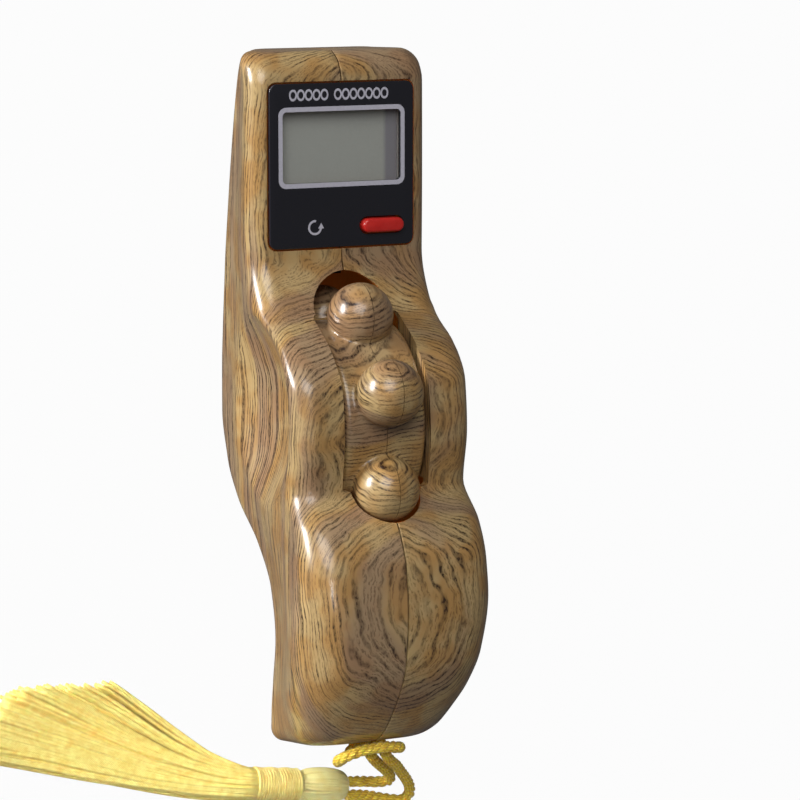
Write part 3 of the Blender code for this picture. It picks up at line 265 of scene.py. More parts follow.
# Where the strands end, from the side nearest the viewer to the far side, in millimetres
# along the tassel and across it, and how far up they pile. They come free of the binding
# 12 mm along, and the lowest ones lie on the bed.
STRAND_ENDS = [(0.0, 58.3, -3.0), (0.25, 58.3, -7.0), (0.5, 57.0, -11.0), (0.65, 53.5, -14.0),
               (0.8, 47.5, -15.0), (0.92, 41.5, -15.2), (1.0, 36.8, -15.8)]
PILE = [(12.0, 4.6), (16.0, 4.9), (20.0, 4.2), (26.0, 3.5), (32.0, 3.1), (46.0, 2.6), (58.5, 2.2)]
FREE_FROM, BED = 12, -3.1 + STRAND_RADIUS * 1000 + 0.1


def between(rows, value, column):
    """The column's value between the two rows on either side of the value in the first column."""
    for first, second in zip(rows, rows[1:]):
        if value <= second[0]:
            share = max(0.0, (value - first[0]) / (second[0] - first[0]))
            return first[column] + (second[column] - first[column]) * share
    return rows[-1][column]


fringe_yarn = bmesh.new()
bmesh.ops.create_cone(fringe_yarn, cap_ends=True, segments=24, radius1=0.0020, radius2=0.0020,
                      depth=0.0085, matrix=TASSEL @ Matrix.Translation((0.0084, 0, 0))
                      @ Matrix.Rotation(math.pi / 2, 4, 'Y'))
for number in range(STRANDS):
    side = (number + tassel_random.random()) / STRANDS
    level = tassel_random.random()
    end_x = between(STRAND_ENDS, side, 1) - abs(tassel_random.gauss(0, 1.1))
    end_y = between(STRAND_ENDS, side, 2) + tassel_random.uniform(-0.5, 0.5)
    start_y = 2.35 * (1 - 2 * side)
    start_z = (2 * level - 1) * math.sqrt(max(0.05, 2.3**2 - start_y**2)) * 0.98
    run = end_x - FREE_FROM
    away = Vector((0.97, -0.10 - 0.40 * side))
    wave = tassel_random.uniform(-0.35, 0.35)
    line = []
    for step in range(15):
        t = step / 14
        a, b, c, d = (1 - t) ** 3, 3 * t * (1 - t) ** 2, 3 * t * t * (1 - t), t**3
        x = (FREE_FROM * a + (FREE_FROM + run * 0.33) * b
             + (end_x - away.x * run * 0.35) * c + end_x * d)
        y = start_y * a + start_y * 1.05 * b + (end_y - away.y * run * 0.35) * c + end_y * d
        y += wave * math.sin(math.pi * t) + 0.12 * math.sin(9 * t + number)
        pile = BED + level * (between(PILE, x, 1) - 2 * STRAND_RADIUS * 1000)
        join = min(1.0, t / 0.12)
        z = start_z * (1 - join) + pile * join
        line.append(TASSEL @ Vector((x / 1000, y / 1000, z / 1000)))
    add_yarn(fringe_yarn, smooth_line(line, 26), STRAND_RADIUS, 6)
tassel_fringe = piece_from(fringe_yarn, "tassel_fringe_strands")
fringe_silk = silk_yarn("loose_rayon_strands", "#FFF496", "#DFA81E", 0.8, 0.35)
tassel_fringe.data.materials.append(fringe_silk)
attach(tassel_fringe, "case")
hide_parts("tassel_fringe")

# Body. Two halves moulded in caramel ABS, covered outside with a wood-grain film printed by
# water transfer, under gloss lacquer. They meet along the middle and are screwed together.
WALL, PARTING_GAP, PARTING_STEP = 1.8, 0.08, 0.12
# Each row: place along the body, front, back, ridge half width and radius, back half width
# and radius, in millimetres.
BODY_SECTIONS = [
    (4.4, 38.6, 17.6, 11.6, 7.0, 11.4, 3.5), (9.0, 43.0, 17.8, 13.6, 8.0, 11.7, 4.5),
    (14.0, 46.4, 18.6, 15.2, 8.5, 11.9, 5.0), (21.0, 48.9, 19.4, 16.3, 8.2, 12.1, 6.0),
    (29.0, 49.7, 18.0, 16.8, 7.2, 12.4, 6.5), (36.0, 49.0, 13.0, 16.3, 5.8, 12.8, 7.0),
    (42.0, 46.3, 5.2, 15.9, 4.8, 13.0, 7.0), (48.0, 41.1, 0.7, 15.4, 4.2, 13.0, 7.0),
    (56.0, 42.1, -1.1, 15.5, 4.0, 13.2, 7.0), (64.0, 41.3, -0.6, 15.6, 4.1, 13.2, 6.5),
    (70.0, 36.6, 0.7, 15.8, 4.3, 13.2, 5.5), (76.0, 27.8, 1.5, 15.6, 4.0, 13.1, 5.0),
    (84.0, 24.2, 2.6, 15.6, 3.2, 13.0, 4.5), (98.0, 24.2, 4.8, 15.6, 3.0, 12.9, 4.5),
    (111.4, 24.2, 7.4, 15.6, 3.1, 12.7, 4.5), (116.4, 22.1, 9.0, 15.5, 4.0, 12.5, 4.5),
]
BODY_LOW, BODY_HIGH, END_ROUND = BODY_SECTIONS[0][0], BODY_SECTIONS[-1][0], 2.5
# The finger's hollow on each flank: its middle, half its length and half its height, and depth.
HOLLOW_Y, HOLLOW_Z, HOLLOW_ALONG, HOLLOW_UP, HOLLOW_DEPTH = 59.2, 25.0, 15.5, 13.4, 4.7


def body_section(y):
    """The section's sizes at y, on a smooth curve that doesn't overshoot."""
    index = max(0, min(len(BODY_SECTIONS) - 2, sum(1 for row in BODY_SECTIONS if row[0] <= y) - 1))
    first, second = BODY_SECTIONS[index], BODY_SECTIONS[index + 1]
    span = second[0] - first[0]
    t = (y - first[0]) / span
    sizes = []
    for column in range(1, 7):
        slopes = [(b[column] - a[column]) / (b[0] - a[0])
                  for a, b in zip(BODY_SECTIONS, BODY_SECTIONS[1:])]
        ends = []
        for i in (index, index + 1):
            before, after = slopes[max(i - 1, 0)], slopes[min(i, len(slopes) - 1)]
            ends.append(2 * before * after / (before + after) * span if before * after > 0 else 0.0)
        sizes.append((2 * t**3 - 3 * t**2 + 1) * first[column] + (t**3 - 2 * t**2 + t) * ends[0]
                     + (3 * t**2 - 2 * t**3) * second[column] + (t**3 - t**2) * ends[1])
    return sizes


def half_outline(y, inset, parting):
    """Half the section at y, from the front's middle to the back's middle, as (x, z)."""
    front, rear, ridge, ridge_round, rear_half, rear_round = body_section(y)
    front, rear, ridge, rear_half = front - inset, rear + inset, ridge - inset, rear_half - inset
    ridge_round, rear_round = max(ridge_round - inset, 0.8), max(rear_round - inset, 0.8)
    edge = ridge - ridge_round
    crown = 0.5 / ridge**2
    points = [(parting, front - PARTING_STEP * (inset == 0 or parting > 0)),
              (parting + PARTING_STEP, front)]
    points += [(edge * i / 9, front - crown * (edge * i / 9) ** 2) for i in range(1, 9)]
    shoulder = front - crown * edge**2 - ridge_round
    for i in range(10):
        angle = math.pi / 2 * (1 - i / 9)
        points.append((edge + ridge_round * math.cos(angle),
                       shoulder + ridge_round * math.sin(angle)))
    for i in range(1, 22):
        t = i / 22
        ease = (t * t * (3 - 2 * t) + t) / 2
        points.append((ridge + (rear_half - ridge) * ease,
                       shoulder + (rear + rear_round - shoulder) * t))
    for i in range(9):
        angle = math.pi / 2 * i / 8
        points.append((rear_half - rear_round + rear_round * math.cos(angle),
                       rear + rear_round - rear_round * math.sin(angle)))
    points += [((rear_half - rear_round) * (1 - i / 7), rear) for i in range(1, 7)]
    points += [(parting + PARTING_STEP, rear), (parting, rear + PARTING_STEP)]
    carved = []
    for x, z in points:
        reach = ((y - HOLLOW_Y) / HOLLOW_ALONG) ** 2 + ((z - HOLLOW_Z) / HOLLOW_UP) ** 2
        outer = min(1.0, max(0.0, (x - 6) / 4))
        carved.append((x - HOLLOW_DEPTH * max(0.0, 1 - reach) ** 1.1 * outer, z))
    return carved


def half_body(name, side, inset, parting, levels):
    """One half of the body as a closed solid, in its own frame. The foot slants."""
    low, high, end_round = BODY_LOW + inset, BODY_HIGH - inset, END_ROUND - inset / 2
    places = [(low + end_round * (1 - math.cos(math.pi / 2 * i / 8)),
               end_round * (1 - math.sin(math.pi / 2 * i / 8))) for i in range(9)]
    run = high - low - 2 * end_round
    places += [(low + end_round + run * i / levels, 0.0) for i in range(1, levels)]
    places += [(low + high - y, drawn_in) for y, drawn_in in reversed(places[:9])]
    bm = bmesh.new()
    rings = []
    for y, drawn_in in places:
        ring = []
        for x, z in half_outline(y, inset + drawn_in, parting):
            fade = max(0.0, 1 - (y - BODY_LOW) / 20)
            slanted = y + 0.17 * (z - 30) * fade * fade * (3 - 2 * fade)
            ring.append(bm.verts.new((side * x / 1000, slanted / 1000, z / 1000)))
        rings.append(ring)
    for first, second in zip(rings, rings[1:]):
        for i in range(len(first)):
            j = (i + 1) % len(first)
            bm.faces.new((first[i], first[j], second[j], second[i]))
    bm.faces.new(rings[0])
    bm.faces.new(rings[-1])
    bmesh.ops.recalc_face_normals(bm, faces=bm.faces)
    return piece_from(bm, name)


def deselect():
    bpy.ops.object.select_all(action='DESELECT')


def activate(piece, *others):
    """Selects the piece and the others, and makes the piece the active one."""
    deselect()
    for chosen in (piece, *others):
        chosen.select_set(True)
    bpy.context.view_layer.objects.active = piece


def apply_all(piece):
    """Applies the piece's modifiers in their order."""
    activate(piece)
    for step in list(piece.modifiers):
        bpy.ops.object.modifier_apply(modifier=step.name)


def carve(piece, tool, operation='DIFFERENCE'):
    """Cuts the tool out of the piece, or joins it on."""
    step = piece.modifiers.new(tool.name, 'BOOLEAN')
    step.operation = operation
    step.solver = 'MANIFOLD'
    step.object = tool
    apply_all(piece)


def coat(piece, *materials):
    """The piece's materials from here on, with every face on the first."""
    piece.data.materials.clear()
    for material in materials:
        piece.data.materials.append(material)
    for face in piece.data.polygons:
        face.material_index = 0


def rounded_plate(name, width, length, corner, centre, low, high, rim=0.0):
    """A flat plate with round corners: a plane, its corners bevelled, then extruded. It is given
    in millimetres, as the rod and the block are."""
    width, length, low, high = (size * MM for size in (width, length, low, high))
    deselect()
    bpy.ops.mesh.primitive_plane_add(size=1)
    made = bpy.context.object
    made.name = name
    seat = Matrix.Translation((centre[0] * MM, centre[1] * MM, low))
    made.data.transform(seat @ Matrix.Diagonal((width, length, 1, 1)))
    bpy.ops.object.mode_set(mode='EDIT')
    bpy.ops.mesh.select_all(action='SELECT')
    bpy.ops.mesh.bevel(offset=corner * MM, offset_type='OFFSET', affect='VERTICES', segments=8)
    bpy.ops.mesh.select_all(action='SELECT')
    bpy.ops.mesh.remove_doubles(threshold=1e-6)
    bpy.ops.mesh.select_all(action='SELECT')
    bpy.ops.mesh.extrude_region_move(TRANSFORM_OT_translate={"value": (0, 0, high - low)})
    bpy.ops.mesh.select_all(action='SELECT')
    bpy.ops.mesh.normals_make_consistent(inside=False)
    bpy.ops.object.mode_set(mode='OBJECT')
    if rim:
        edge = made.modifiers.new("rim", 'BEVEL')
        edge.width = rim * MM
        edge.segments = 3
        edge.limit_method = 'ANGLE'
        edge.angle_limit = math.radians(50)
        apply_all(made)
    return made


def rod(name, start, end, radius, sides=48):
    """A round bar from one place to another."""
    start, end = (Vector([size * MM for size in place]) for place in (start, end))
    deselect()
    bpy.ops.mesh.primitive_cylinder_add(vertices=sides, radius=radius * MM,
                                        depth=(end - start).length)
    made = bpy.context.object
    made.name = name
    made.data.transform(Matrix.Translation((start + end) / 2)
                        @ (end - start).to_track_quat('Z', 'Y').to_matrix().to_4x4())
    return made


def block(name, low, high):
    """A plain block from its lowest corner to its highest."""
    low, high = (Vector([size * MM for size in corner]) for corner in (low, high))
    deselect()
    bpy.ops.mesh.primitive_cube_add(size=1)
    made = bpy.context.object
    made.name = name
    made.data.transform(Matrix.Translation((low + high) / 2) @ Matrix.Diagonal((*(high - low), 1)))
    return made


def discard(*tools):
    for tool in tools:
        bpy.data.objects.remove(tool, do_unlink=True)


SMOOTH = {"interpolation_type": 'SMOOTHSTEP'}


def wood_film(name, layers, seed):
    """Wood-grain film printed by water transfer: figure like that of timber cut to this shape,
    in broken dark lines along its layers, over a ground that shifts in hue, all lacquered. It
    is worked out in the body's own axes, in millimetres."""
    made, tree, shader = new_material(name, Roughness=0.30, Coat_Weight=0.40, Coat_Roughness=0.21,
                                      Specular_IOR_Level=0.45)
    body = add(tree, "Mapping", {"Vector": add(tree, "TexCoord", output="Object"),
                                 "Location": SHIFT, "Rotation": (TILT, 0, 0),
                                 "Scale": (MM, MM, MM)}, vector_type='TEXTURE')
    moved = add(tree, "VectorMath", (body, (seed * 37.0, seed * 11.0, seed * 23.0)),
                operation='ADD')
    # The layers swell and dip, broadly every 22 mm and closely every 6 mm.
    level = add(tree, "VectorMath", (body, layers), "Value", operation='DOT_PRODUCT')
    broad = add(tree, "TexNoise", {"Vector": moved, "Scale": 0.045, "Detail": 1.0})
    near = add(tree, "TexNoise", {"Vector": moved, "Scale": 0.17, "Detail": 2.0})
    swollen = add(tree, "Math", (broad, 4.8, level), operation='MULTIPLY_ADD')
    depth = add(tree, "Math", (near, 1.3, swollen), operation='MULTIPLY_ADD')
    across, along = (add(tree, "SeparateXYZ", (moved,), axis) for axis in "XY")
    layered = add(tree, "CombineXYZ", (across, along, depth))

    def figure(stretch, detail, span, least=0.0, most=1.0, roughness=0.5):
        """Noise drawn out along the layers. It goes from the least to the most over its span."""
        drawn = add(tree, "VectorMath", (layered, stretch), operation='MULTIPLY')
        noise = add(tree, "TexNoise", {"Vector": drawn, "Scale": 1.0, "Detail": detail,
                                       "Roughness": roughness})
        return add(tree, "MapRange", (noise, *span, least, most), **SMOOTH)

    # What breaks up the lines: dashes, pores, paler patches, and how far a face looks sideways.
    dashes = figure((0.50, 0.28, 1.7), 2.0, (0.34, 0.54), least=0.30)
    pores = figure((2.6, 1.2, 7.0), 2.0, (0.42, 0.60), roughness=0.6)
    half_pores = add(tree, "Math", (pores, 0.45, 0.55), operation='MULTIPLY_ADD')
    uneven = add(tree, "TexNoise", {"Vector": moved, "Scale": 0.11, "Detail": 2.0})
    patches = add(tree, "MapRange", (uneven, 0.40, 0.60, 0.65, 1.0), **SMOOTH)
    facing = add(tree, "SeparateXYZ", (add(tree, "TexCoord", output="Normal"),), "X")
    sideways = add(tree, "Math", (facing,), operation='ABSOLUTE')
    flank = add(tree, "MapRange", (sideways, 0.70, 0.95, 0.0, 1.0), **SMOOTH)
    front = add(tree, "MapRange", (sideways, 0.70, 0.95, 1.0, 0.0), **SMOOTH)
    mostly_front = add(tree, "Math", (front, 0.40, 0.12), operation='MULTIPLY_ADD')

    # Four sets of dark lines, in millimetres: how far apart, how thick and how much they wander,
    # the span over which they come and go, and what breaks them up.
    bends = add(tree, "VectorMath", (layered, (0.35, 0.16, 0.9)), operation='MULTIPLY')
    ripple = add(tree, "TexNoise", {"Vector": bends, "Scale": 1.0, "Detail": 2.0})
    dark = 0.0
    for period, width, wander, span, masks in (
            (0.60, 0.175, 0.70, (0.33, 0.45), (dashes, half_pores, front, patches)),
            (0.21, 0.085, 0.40, (0.36, 0.50), (pores, mostly_front)),
            (0.62, 0.170, 0.80, (0.34, 0.48), (flank, half_pores)),
            (2.30, 0.300, 1.60, (0.34, 0.46), (flank, half_pores))):
        bent = add(tree, "Math", (ripple, wander, depth), operation='MULTIPLY_ADD')
        wave = add(tree, "Math", (bent, period / 2), operation='PINGPONG')
        ink_line = add(tree, "MapRange", (wave, width * 0.25, width, 1.0, 0.0), **SMOOTH)
        for mask in (figure((0.10, 0.06, 0.55 / period), 1.0, span), *masks):
            ink_line = add(tree, "Math", (ink_line, mask), operation='MULTIPLY')
        dark = add(tree, "Math", (dark, ink_line), operation='MAXIMUM')

    warmth = add(tree, "MapRange", (near, 0.38, 0.62, 0.0, 1.0), **SMOOTH)
    bands = figure((0.03, 0.02, 0.22), 2.0, (0.46, 0.60), most=0.60)
    colour = "#B89C6C"
    for share, tint in ((warmth, "#AD854F"), (bands, "#8B7160"), (dark, "#2C190F")):
        colour = add(tree, "Mix", {"Factor": share, "A": colour, "B": tint}, "Result",
                     data_type='RGBA')
    tree.links.new(colour, shader.inputs["Base Color"])
    return made


def mottled(name, dark, light, scale, detail=3.0, **values):
    """A moulded, plated, printed or coated finish whose colour drifts a little between two, so
    that it doesn't look painted flat. The scale counts patches a metre: 1000 makes them 1 mm."""
    made, tree, shader = new_material(name, **values)
    drift = add(tree, "TexNoise", {"Vector": add(tree, "TexCoord", output="Object"),
                                   "Scale": scale, "Detail": detail})
    colour = add(tree, "Mix", {"Factor": drift, "A": dark, "B": light}, "Result",
                 data_type='RGBA')
    tree.links.new(colour, shader.inputs["Base Color"])
    return made


# Caramel ABS as moulded, unprinted, satin and a little translucent. Its faint glow stands for
# the light that comes through its walls.
caramel = mottled("caramel_abs", "#9C5618", "#C47C30", 260.0, 4.0, Roughness=0.42,
                  Subsurface_Weight=0.5, Subsurface_Scale=0.003, Emission_Strength=0.05,
                  Emission_Color="#B0601C")
LABEL_SPOT, WINDOW_SPOT, BUTTON_SPOT = (0, 98.15), (0, 101.15), (7.0, 88.2)
AXLE_SEAT = Matrix.Translation((0, 57.2 * MM, 25.7 * MM))
BEAD_CIRCLE = 18.2
slot_straight = rounded_plate("slot_straight", 15.0, 26.9, 0.6, (0, 61.25), 20, 60)
slot_tools = [
    slot_straight,
    rounded_plate("slot_arch", 13.8, 30.7, 6.88, (0, 65.65), 20, 60),
    rounded_plate("slot_notch", 12.8, 20.5, 6.38, (0, 53.35), 20, 60),
    rounded_plate("label_recess", 25.9, 27.1, 1.6, LABEL_SPOT, 23.1, 40),
    rounded_plate("window_opening", 22.0, 12.7, 0.8, WINDOW_SPOT, 19, 40),
    rounded_plate("button_opening", 7.9, 2.9, 1.42, BUTTON_SPOT, 19, 40),
    rod("cord_opening", (0, -10, 33.9), (0, 10.2, 33.9), 3.2),
]
deselect()
bpy.ops.mesh.primitive_torus_add(major_radius=BEAD_CIRCLE * MM, minor_radius=5.8 * MM,
                                 major_segments=96, minor_segments=32)
bead_path = bpy.context.object
bead_path.data.transform(AXLE_SEAT @ Matrix.Rotation(math.pi / 2, 4, 'Y'))
slot_tools.append(bead_path)
cap_seat = Matrix.Translation((0, 99.0, 7.2)) @ Matrix.Rotation(math.radians(9.6), 4, 'X')
slot_tools.append(rod("cap_opening", cap_seat @ Vector((0, 0, -6)), cap_seat @ Vector((0, 0, 0.4)),
                      7.2, 64))
SCREW_SPOTS = [(110.8, 12.2), (86.4, 9.0), (28.5, 28.0), (13.0, 25.2)]
sink_tools = [rod("screw_sink", (6, y, z), (40, y, z), 2.1) for y, z in SCREW_SPOTS]
table_cut = block("table_cut", (-40, -200, -40), (40, 200, 0))
table_cut.data.transform(LIE.inverted())

# Each half is hollowed out to its walls. Inside, a skirt goes down from the slot's two straight
# sides, where the film goes over the edge. What the other tools cut shows bare caramel.
shell_films = []
for side, body_name, layers, seed in ((-1, "shell_left", (0.25, 0.0, 1.0), 1.0),
                                      (1, "shell_right", (-0.25, 0.04, 1.0), 2.0)):
    film = wood_film("wood_film_" + body_name[6:], layers, seed)
    shell_films.append(film)
    shell = half_body(body_name + "_moulding", side, inset=0.0, parting=PARTING_GAP, levels=120)
    hollow = half_body("hollow", side, inset=WALL, parting=-2.0, levels=50)
    skirt = block("slot_skirt", (-9.3, 48.8, 29.5), (9.3, 73.7, 60))
    carve(hollow, skirt)
    shell.data.materials.append(film)
    shell.data.materials.append(caramel)
    for tool in [hollow] + slot_tools + (sink_tools if side > 0 else []) + [table_cut]:
        coat(tool, film, caramel)
        for face in tool.data.polygons:
            face.material_index = 0 if tool is slot_straight else 1
        carve(shell, tool)
    discard(hollow, skirt)
    shell.data.transform(LIE)
    bpy.ops.object.shade_smooth_by_angle(angle=math.radians(35))
    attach(shell, "case")
    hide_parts(body_name)
discard(*slot_tools, *sink_tools, table_cut)

# Label. A sheet of black acrylic, glued in a recess, with a window and the button's slot. Dust
# shows on it as pale specks under a millimetre wide.
label_black, tree, shader = new_material("black_acrylic_label", Roughness=0.22, Coat_Weight=0.3,
                                         Coat_Roughness=0.1)
specks = add(tree, "TexNoise", {"Vector": add(tree, "TexCoord", output="Object"),
                                "Scale": 1400.0, "Detail": 4.0, "Roughness": 0.7})
dust = add(tree, "MapRange", (specks, 0.66, 0.9, 0.0, 0.25))
colour = add(tree, "Mix", {"Factor": dust, "A": "#1D1D24", "B": "#5C5A62"}, "Result",
             data_type='RGBA')
tree.links.new(colour, shader.inputs["Base Color"])
label = rounded_plate("label_sheet", 25.3, 26.5, 1.3, LABEL_SPOT, 23.4, 24.3, 0.12)
window_tool = rounded_plate("window_tool", 20.8, 11.5, 0.7, WINDOW_SPOT, 20, 40)
button_tool = rounded_plate("button_tool", 7.9, 2.9, 1.42, BUTTON_SPOT, 20, 40)
carve(label, window_tool)
carve(label, button_tool)
coat(label, label_black)
label.data.transform(LIE)
bpy.ops.object.shade_smooth_by_angle(angle=math.radians(35))
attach(label, "case")
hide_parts("display_label")

# Print on the label, screen-printed in one pale ink: a frame round the window, a row of plain
# rings and a reset arrow, all a few hundredths of a millimetre proud of the sheet. The ink's
# mottle stands for the screen's mesh, and at 0.3 mm is coarser than it, so that it shows.
ink = mottled("lilac_grey_ink", "#B4B2C0", "#CFCDD8", 3000.0, 2.0, Roughness=0.45)
PRINT_FACE = 24.3 * MM
frame_line = rounded_plate("label_print_frame", 22.2, 13.0, 1.3, WINDOW_SPOT, 24.27, 24.32)
carve(frame_line, window_tool)
discard(window_tool, button_tool)
marks = []
for number in range(12):
    deselect()
    bpy.ops.mesh.primitive_torus_add(major_radius=0.56 * MM, minor_radius=0.14 * MM,
                                     major_segments=24, minor_segments=8)
    ring = bpy.context.object
    x = -8.55 + 1.37 * number + (1.0 if number > 4 else 0.0)
    ring.data.transform(Matrix.Translation((x * MM, 109.55 * MM, PRINT_FACE))
                        @ Matrix.Diagonal((1, 1.35, 0.15, 1)))
    marks.append(ring)
deselect()
bpy.ops.mesh.primitive_torus_add(major_radius=0.95 * MM, minor_radius=0.16 * MM,
                                 major_segments=36, minor_segments=8)
reset_arc = bpy.context.object
bpy.ops.object.mode_set(mode='EDIT')
bpy.ops.mesh.select_all(action='DESELECT')
bpy.ops.object.mode_set(mode='OBJECT')
for face in reset_arc.data.polygons:
    face.select = 0.15 < math.atan2(face.center.y, face.center.x) < 1.35
bpy.ops.object.mode_set(mode='EDIT')
bpy.ops.mesh.delete(type='FACE')
bpy.ops.mesh.select_all(action='SELECT')
bpy.ops.mesh.fill_holes(sides=0)
bpy.ops.object.mode_set(mode='OBJECT')
deselect()
bpy.ops.mesh.primitive_cylinder_add(vertices=3, radius=0.55 * MM, depth=0.3 * MM)
arrow_head = bpy.context.object
arrow_head.data.transform(Matrix.Translation((0.98 * MM, 0.12 * MM, 0)))
for mark in (reset_arc, arrow_head):
    mark.data.transform(Matrix.Translation((-4.8 * MM, BUTTON_SPOT[1] * MM, PRINT_FACE))
                        @ Matrix.Diagonal((1.1, 1.1, 0.12, 1)))
    marks.append(mark)
activate(frame_line, *marks)
bpy.ops.object.join()
coat(frame_line, ink)
frame_line.data.transform(LIE)
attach(frame_line, "case")

# Window and glass. A clear acrylic window sits under the label's edge, and the liquid-crystal
# glass lies under it on its holder, set back under the opening's rim. The rim's shade on the
# glass's right edge is painted into the glass's colour as a darker band, as painted shade.
# Wiping has left faint haze on the window, in smears 11 mm wide, and the glass is otherwise a
# flat grey.
clear, tree, shader = new_material("clear_acrylic", Roughness=0.04, Alpha=0.08, IOR=1.49,
                                   Base_Color="#F2F4F2")
wipes = add(tree, "TexNoise", {"Vector": add(tree, "TexCoord", output="Object"), "Scale": 90.0})
haze = add(tree, "MapRange", (wipes, 0.0, 1.0, 0.03, 0.07))
tree.links.new(haze, shader.inputs["Roughness"])
lcd = mottled("reflective_liquid_crystal", "#92938B", "#9DA097", 2600.0, 2.0, Roughness=0.35)
tree = lcd.node_tree
paint = tree.nodes["Principled BSDF"].inputs["Base Color"]
# Painted shade: the glass's colour darkens to a grey-violet over its last millimetre on the right.
across = add(tree, "SeparateXYZ", (add(tree, "TexCoord", output="Object"),), "X")
in_shade = add(tree, "MapRange", (across, 8.2 * MM, 9.2 * MM), **SMOOTH)
shaded = add(tree, "Mix", {"Factor": in_shade, "A": paint.links[0].from_socket, "B": "#67636D"},
             "Result", data_type='RGBA')
tree.links.new(shaded, paint)

# Reset button. Red ABS, moulded with a flange that keeps it in its slot, and polished. It
# stands a millimetre out of the label and is pressed onto a rubber pad.
red = mottled("red_moulded_abs", "#C01E1A", "#D4302A", 900.0, 2.0, Roughness=0.28,
              Coat_Weight=0.2, Subsurface_Weight=0.1, Subsurface_Scale=0.0005)
button = rounded_plate("reset_button_cap", 7.3, 2.3, 1.12, BUTTON_SPOT, 21.3, 25.4, 0.45)
flange = rounded_plate("button_flange", 9.3, 4.3, 2.1, BUTTON_SPOT, 20.8, 21.6)
carve(button, flange, 'UNION')
discard(flange)
coat(button, red)
button.data.transform(LIE)
bpy.ops.object.shade_smooth_by_angle(angle=math.radians(35))
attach(button, "button")
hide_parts("reset_button")

# Bead wheel. Two moulded halves with seven bead-like knobs round a drum, filmed and lacquered
# like the body. Their parting line runs round the middle, over every bead.
BEADS, BEAD_RADIUS, DRUM_RADIUS, DRUM_WIDTH, BORE_RADIUS = 7, 5.35, 16, 14, 1.8
deselect()
bpy.ops.mesh.primitive_cylinder_add(vertices=192, radius=DRUM_RADIUS * MM, depth=DRUM_WIDTH * MM)
wheel = bpy.context.object
wheel.name = "wheel_form"
wheel.data.transform(Matrix.Rotation(math.pi / 2, 4, 'Y'))
rim = wheel.modifiers.new("rim", 'BEVEL')
rim.width = 1.0 * MM
rim.segments = 4
rim.limit_method = 'ANGLE'
apply_all(wheel)
beads = []
for number in range(BEADS):
    angle = math.radians(20.5) + math.tau * number / BEADS
    deselect()
    bpy.ops.mesh.primitive_uv_sphere_add(segments=48, ring_count=32, radius=BEAD_RADIUS * MM)
    bead = bpy.context.object
    bead.data.transform(Matrix.Translation((0, BEAD_CIRCLE * MM * math.sin(angle),
                                            BEAD_CIRCLE * MM * math.cos(angle))))
    beads.append(bead)
activate(wheel, *beads)
bpy.ops.object.join()
blend_in = wheel.modifiers.new("one_skin", 'REMESH')
blend_in.mode = 'VOXEL'
blend_in.voxel_size = 0.34 * MM
soften = wheel.modifiers.new("soften", 'SMOOTH')
soften.factor = 0.5
soften.iterations = 5
apply_all(wheel)
wheel_film = wood_film("wood_film_wheel", (-0.13, 0.72, 0.27), 3.0)
for side, body_name in ((-1, "wheel_left_half"), (1, "wheel_right_half")):
    half = wheel.copy()
    half.data = wheel.data.copy()
    half.name = body_name + "_moulding"
    scene.collection.objects.link(half)
    near_face, far_face = side * 0.05, -side * 30
    other_half = block("other_half", (min(near_face, far_face), -30, -30),
                       (max(near_face, far_face), 30, 30))
    bore = rod("axle_bore", (-20, 0, 0), (20, 0, 0), BORE_RADIUS)
    carve(half, other_half)
    carve(half, bore)
    discard(other_half, bore)
    coat(half, wheel_film)
    half.data.transform(LIE @ AXLE_SEAT)
    bpy.ops.object.shade_smooth_by_angle(angle=math.radians(40))
    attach(half, "wheel")
    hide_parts(body_name)
discard(wheel)

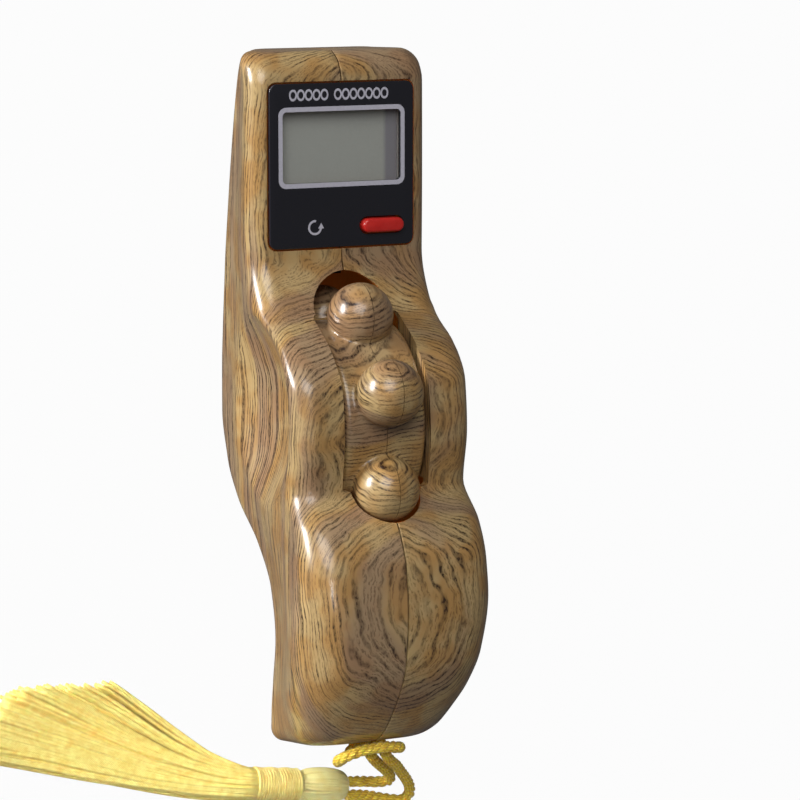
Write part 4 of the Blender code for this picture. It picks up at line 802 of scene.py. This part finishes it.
# Parts inside. They show only through the slot's upper arch and the holes: a brown sensor
# board, screws and washers, and behind them the electronics and the cell with its filmed cap.
finishes = {
    mottled("nickel_plated_steel", "#A8A7A2", "#C2C1BC", 2200.0, Metallic=1.0, Roughness=0.3):
        ["wheel_axle", "lanyard_pin", "board_screw_left", "board_screw_right", "battery_cell"]
        + [f"case_screw_{place}" for place in ("head", "neck", "belly", "foot")]
        + [f"wheel_magnet_{number}" for number in range(1, BEADS + 1)],
    mottled("white_nylon", "#D9D6CC", "#E6E3DA", 700.0, Roughness=0.5):
        ["lcd_holder", "battery_tray", "wheel_washer_left", "wheel_washer_right"],
    mottled("phenolic_paper_board", "#9A5618", "#BC7830", 500.0, Roughness=0.5):
        ["sensor_board"],
    mottled("green_solder_mask", "#10401E", "#17552A", 900.0, Roughness=0.35): ["main_board"],
    mottled("black_epoxy", "#0C0C0C", "#1C1B1A", 1200.0, Roughness=0.4):
        ["chip_blob", "reed_switch"],
    mottled("striped_elastomer", "#4E2A2E", "#8C5A60", 3000.0, Roughness=0.6): ["zebra_strip"],
    mottled("tinned_brass", "#B9A66A", "#CDBB82", 2000.0, Metallic=1.0, Roughness=0.35):
        ["battery_contact_pos", "battery_contact_neg"],
    mottled("red_wire_sleeve", "#8C1414", "#A81C1C", 2000.0, Roughness=0.5):
        ["battery_wire_pos", "sensor_wire_right"],
    mottled("black_wire_sleeve", "#101010", "#1C1C1C", 2000.0, Roughness=0.5):
        ["battery_wire_neg", "sensor_wire_left"],
    mottled("grey_silicone", "#8C8C8C", "#9A9A9A", 1500.0, Roughness=0.65): ["reset_pad"],
    clear: ["window_lens"],
    lcd: ["lcd_glass"],
    shell_films[0]: ["battery_cap"],
}
for finish, nodes in finishes.items():
    for node in nodes:
        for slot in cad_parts[node].material_slots:
            slot.material = finish

# Table and light. A white table, a softbox low on the left that draws the long glints along
# the ridges and beads, a broad dim one above, and a small one that is turned on the tassel.
deselect()
bpy.ops.mesh.primitive_plane_add(size=6)
table = bpy.context.object
table.name = "table_top"
white, tree, shader = new_material("white_table", Roughness=0.9, Base_Color="#707070",
                                   Specular_IOR_Level=0.0)
seen = add(tree, "Math", (add(tree, "LightPath", output="Is Camera Ray"), 0.97),
           operation='MULTIPLY')
glow = add(tree, "Emission", {"Color": "#FFFFFF", "Strength": 1.0})
both = add(tree, "MixShader", (seen, shader.outputs[0], glow))
tree.links.new(both, tree.nodes["Material Output"].inputs["Surface"])
table.data.materials.append(white)

world = bpy.data.worlds.new("studio")
world.use_nodes = True
scene.world = world
tree = world.node_tree
sky = tree.nodes["Background"]
sky.inputs["Color"].default_value = (1, 1, 1, 1)
shown = add(tree, "Math", (add(tree, "LightPath", output="Is Camera Ray"),
                           add(tree, "LightPath", output="Is Transmission Ray")),
            operation='MAXIMUM')
strength = add(tree, "MapRange", (shown, 0.0, 1.0, 0.11, 1.0))
tree.links.new(strength, sky.inputs["Strength"])


def softbox(name, place, target, size, watts, spread=180):
    """A rectangular lamp that faces its target."""
    lamp = bpy.data.lights.new(name, 'AREA')
    lamp.spread = math.radians(spread)
    lamp.shape = 'RECTANGLE'
    lamp.size, lamp.size_y = size
    lamp.energy = watts
    made = bpy.data.objects.new(name, lamp)
    scene.collection.objects.link(made)
    made.location = place
    made.rotation_euler = (Vector(target) - Vector(place)).to_track_quat('-Z', 'Y').to_euler()


softbox("left_softbox", (-0.75, 0.33, 0.085), (0, 0, 0.02), (0.32, 0.13), 9.0)
softbox("top_softbox", (-0.35, 0.25, 0.85), (0, 0, 0), (0.6, 0.6), 5.2)
softbox("tassel_softbox", (-0.14, -0.14, 0.30), (-0.035, -0.072, 0), (0.05, 0.05), 0.011, 22)
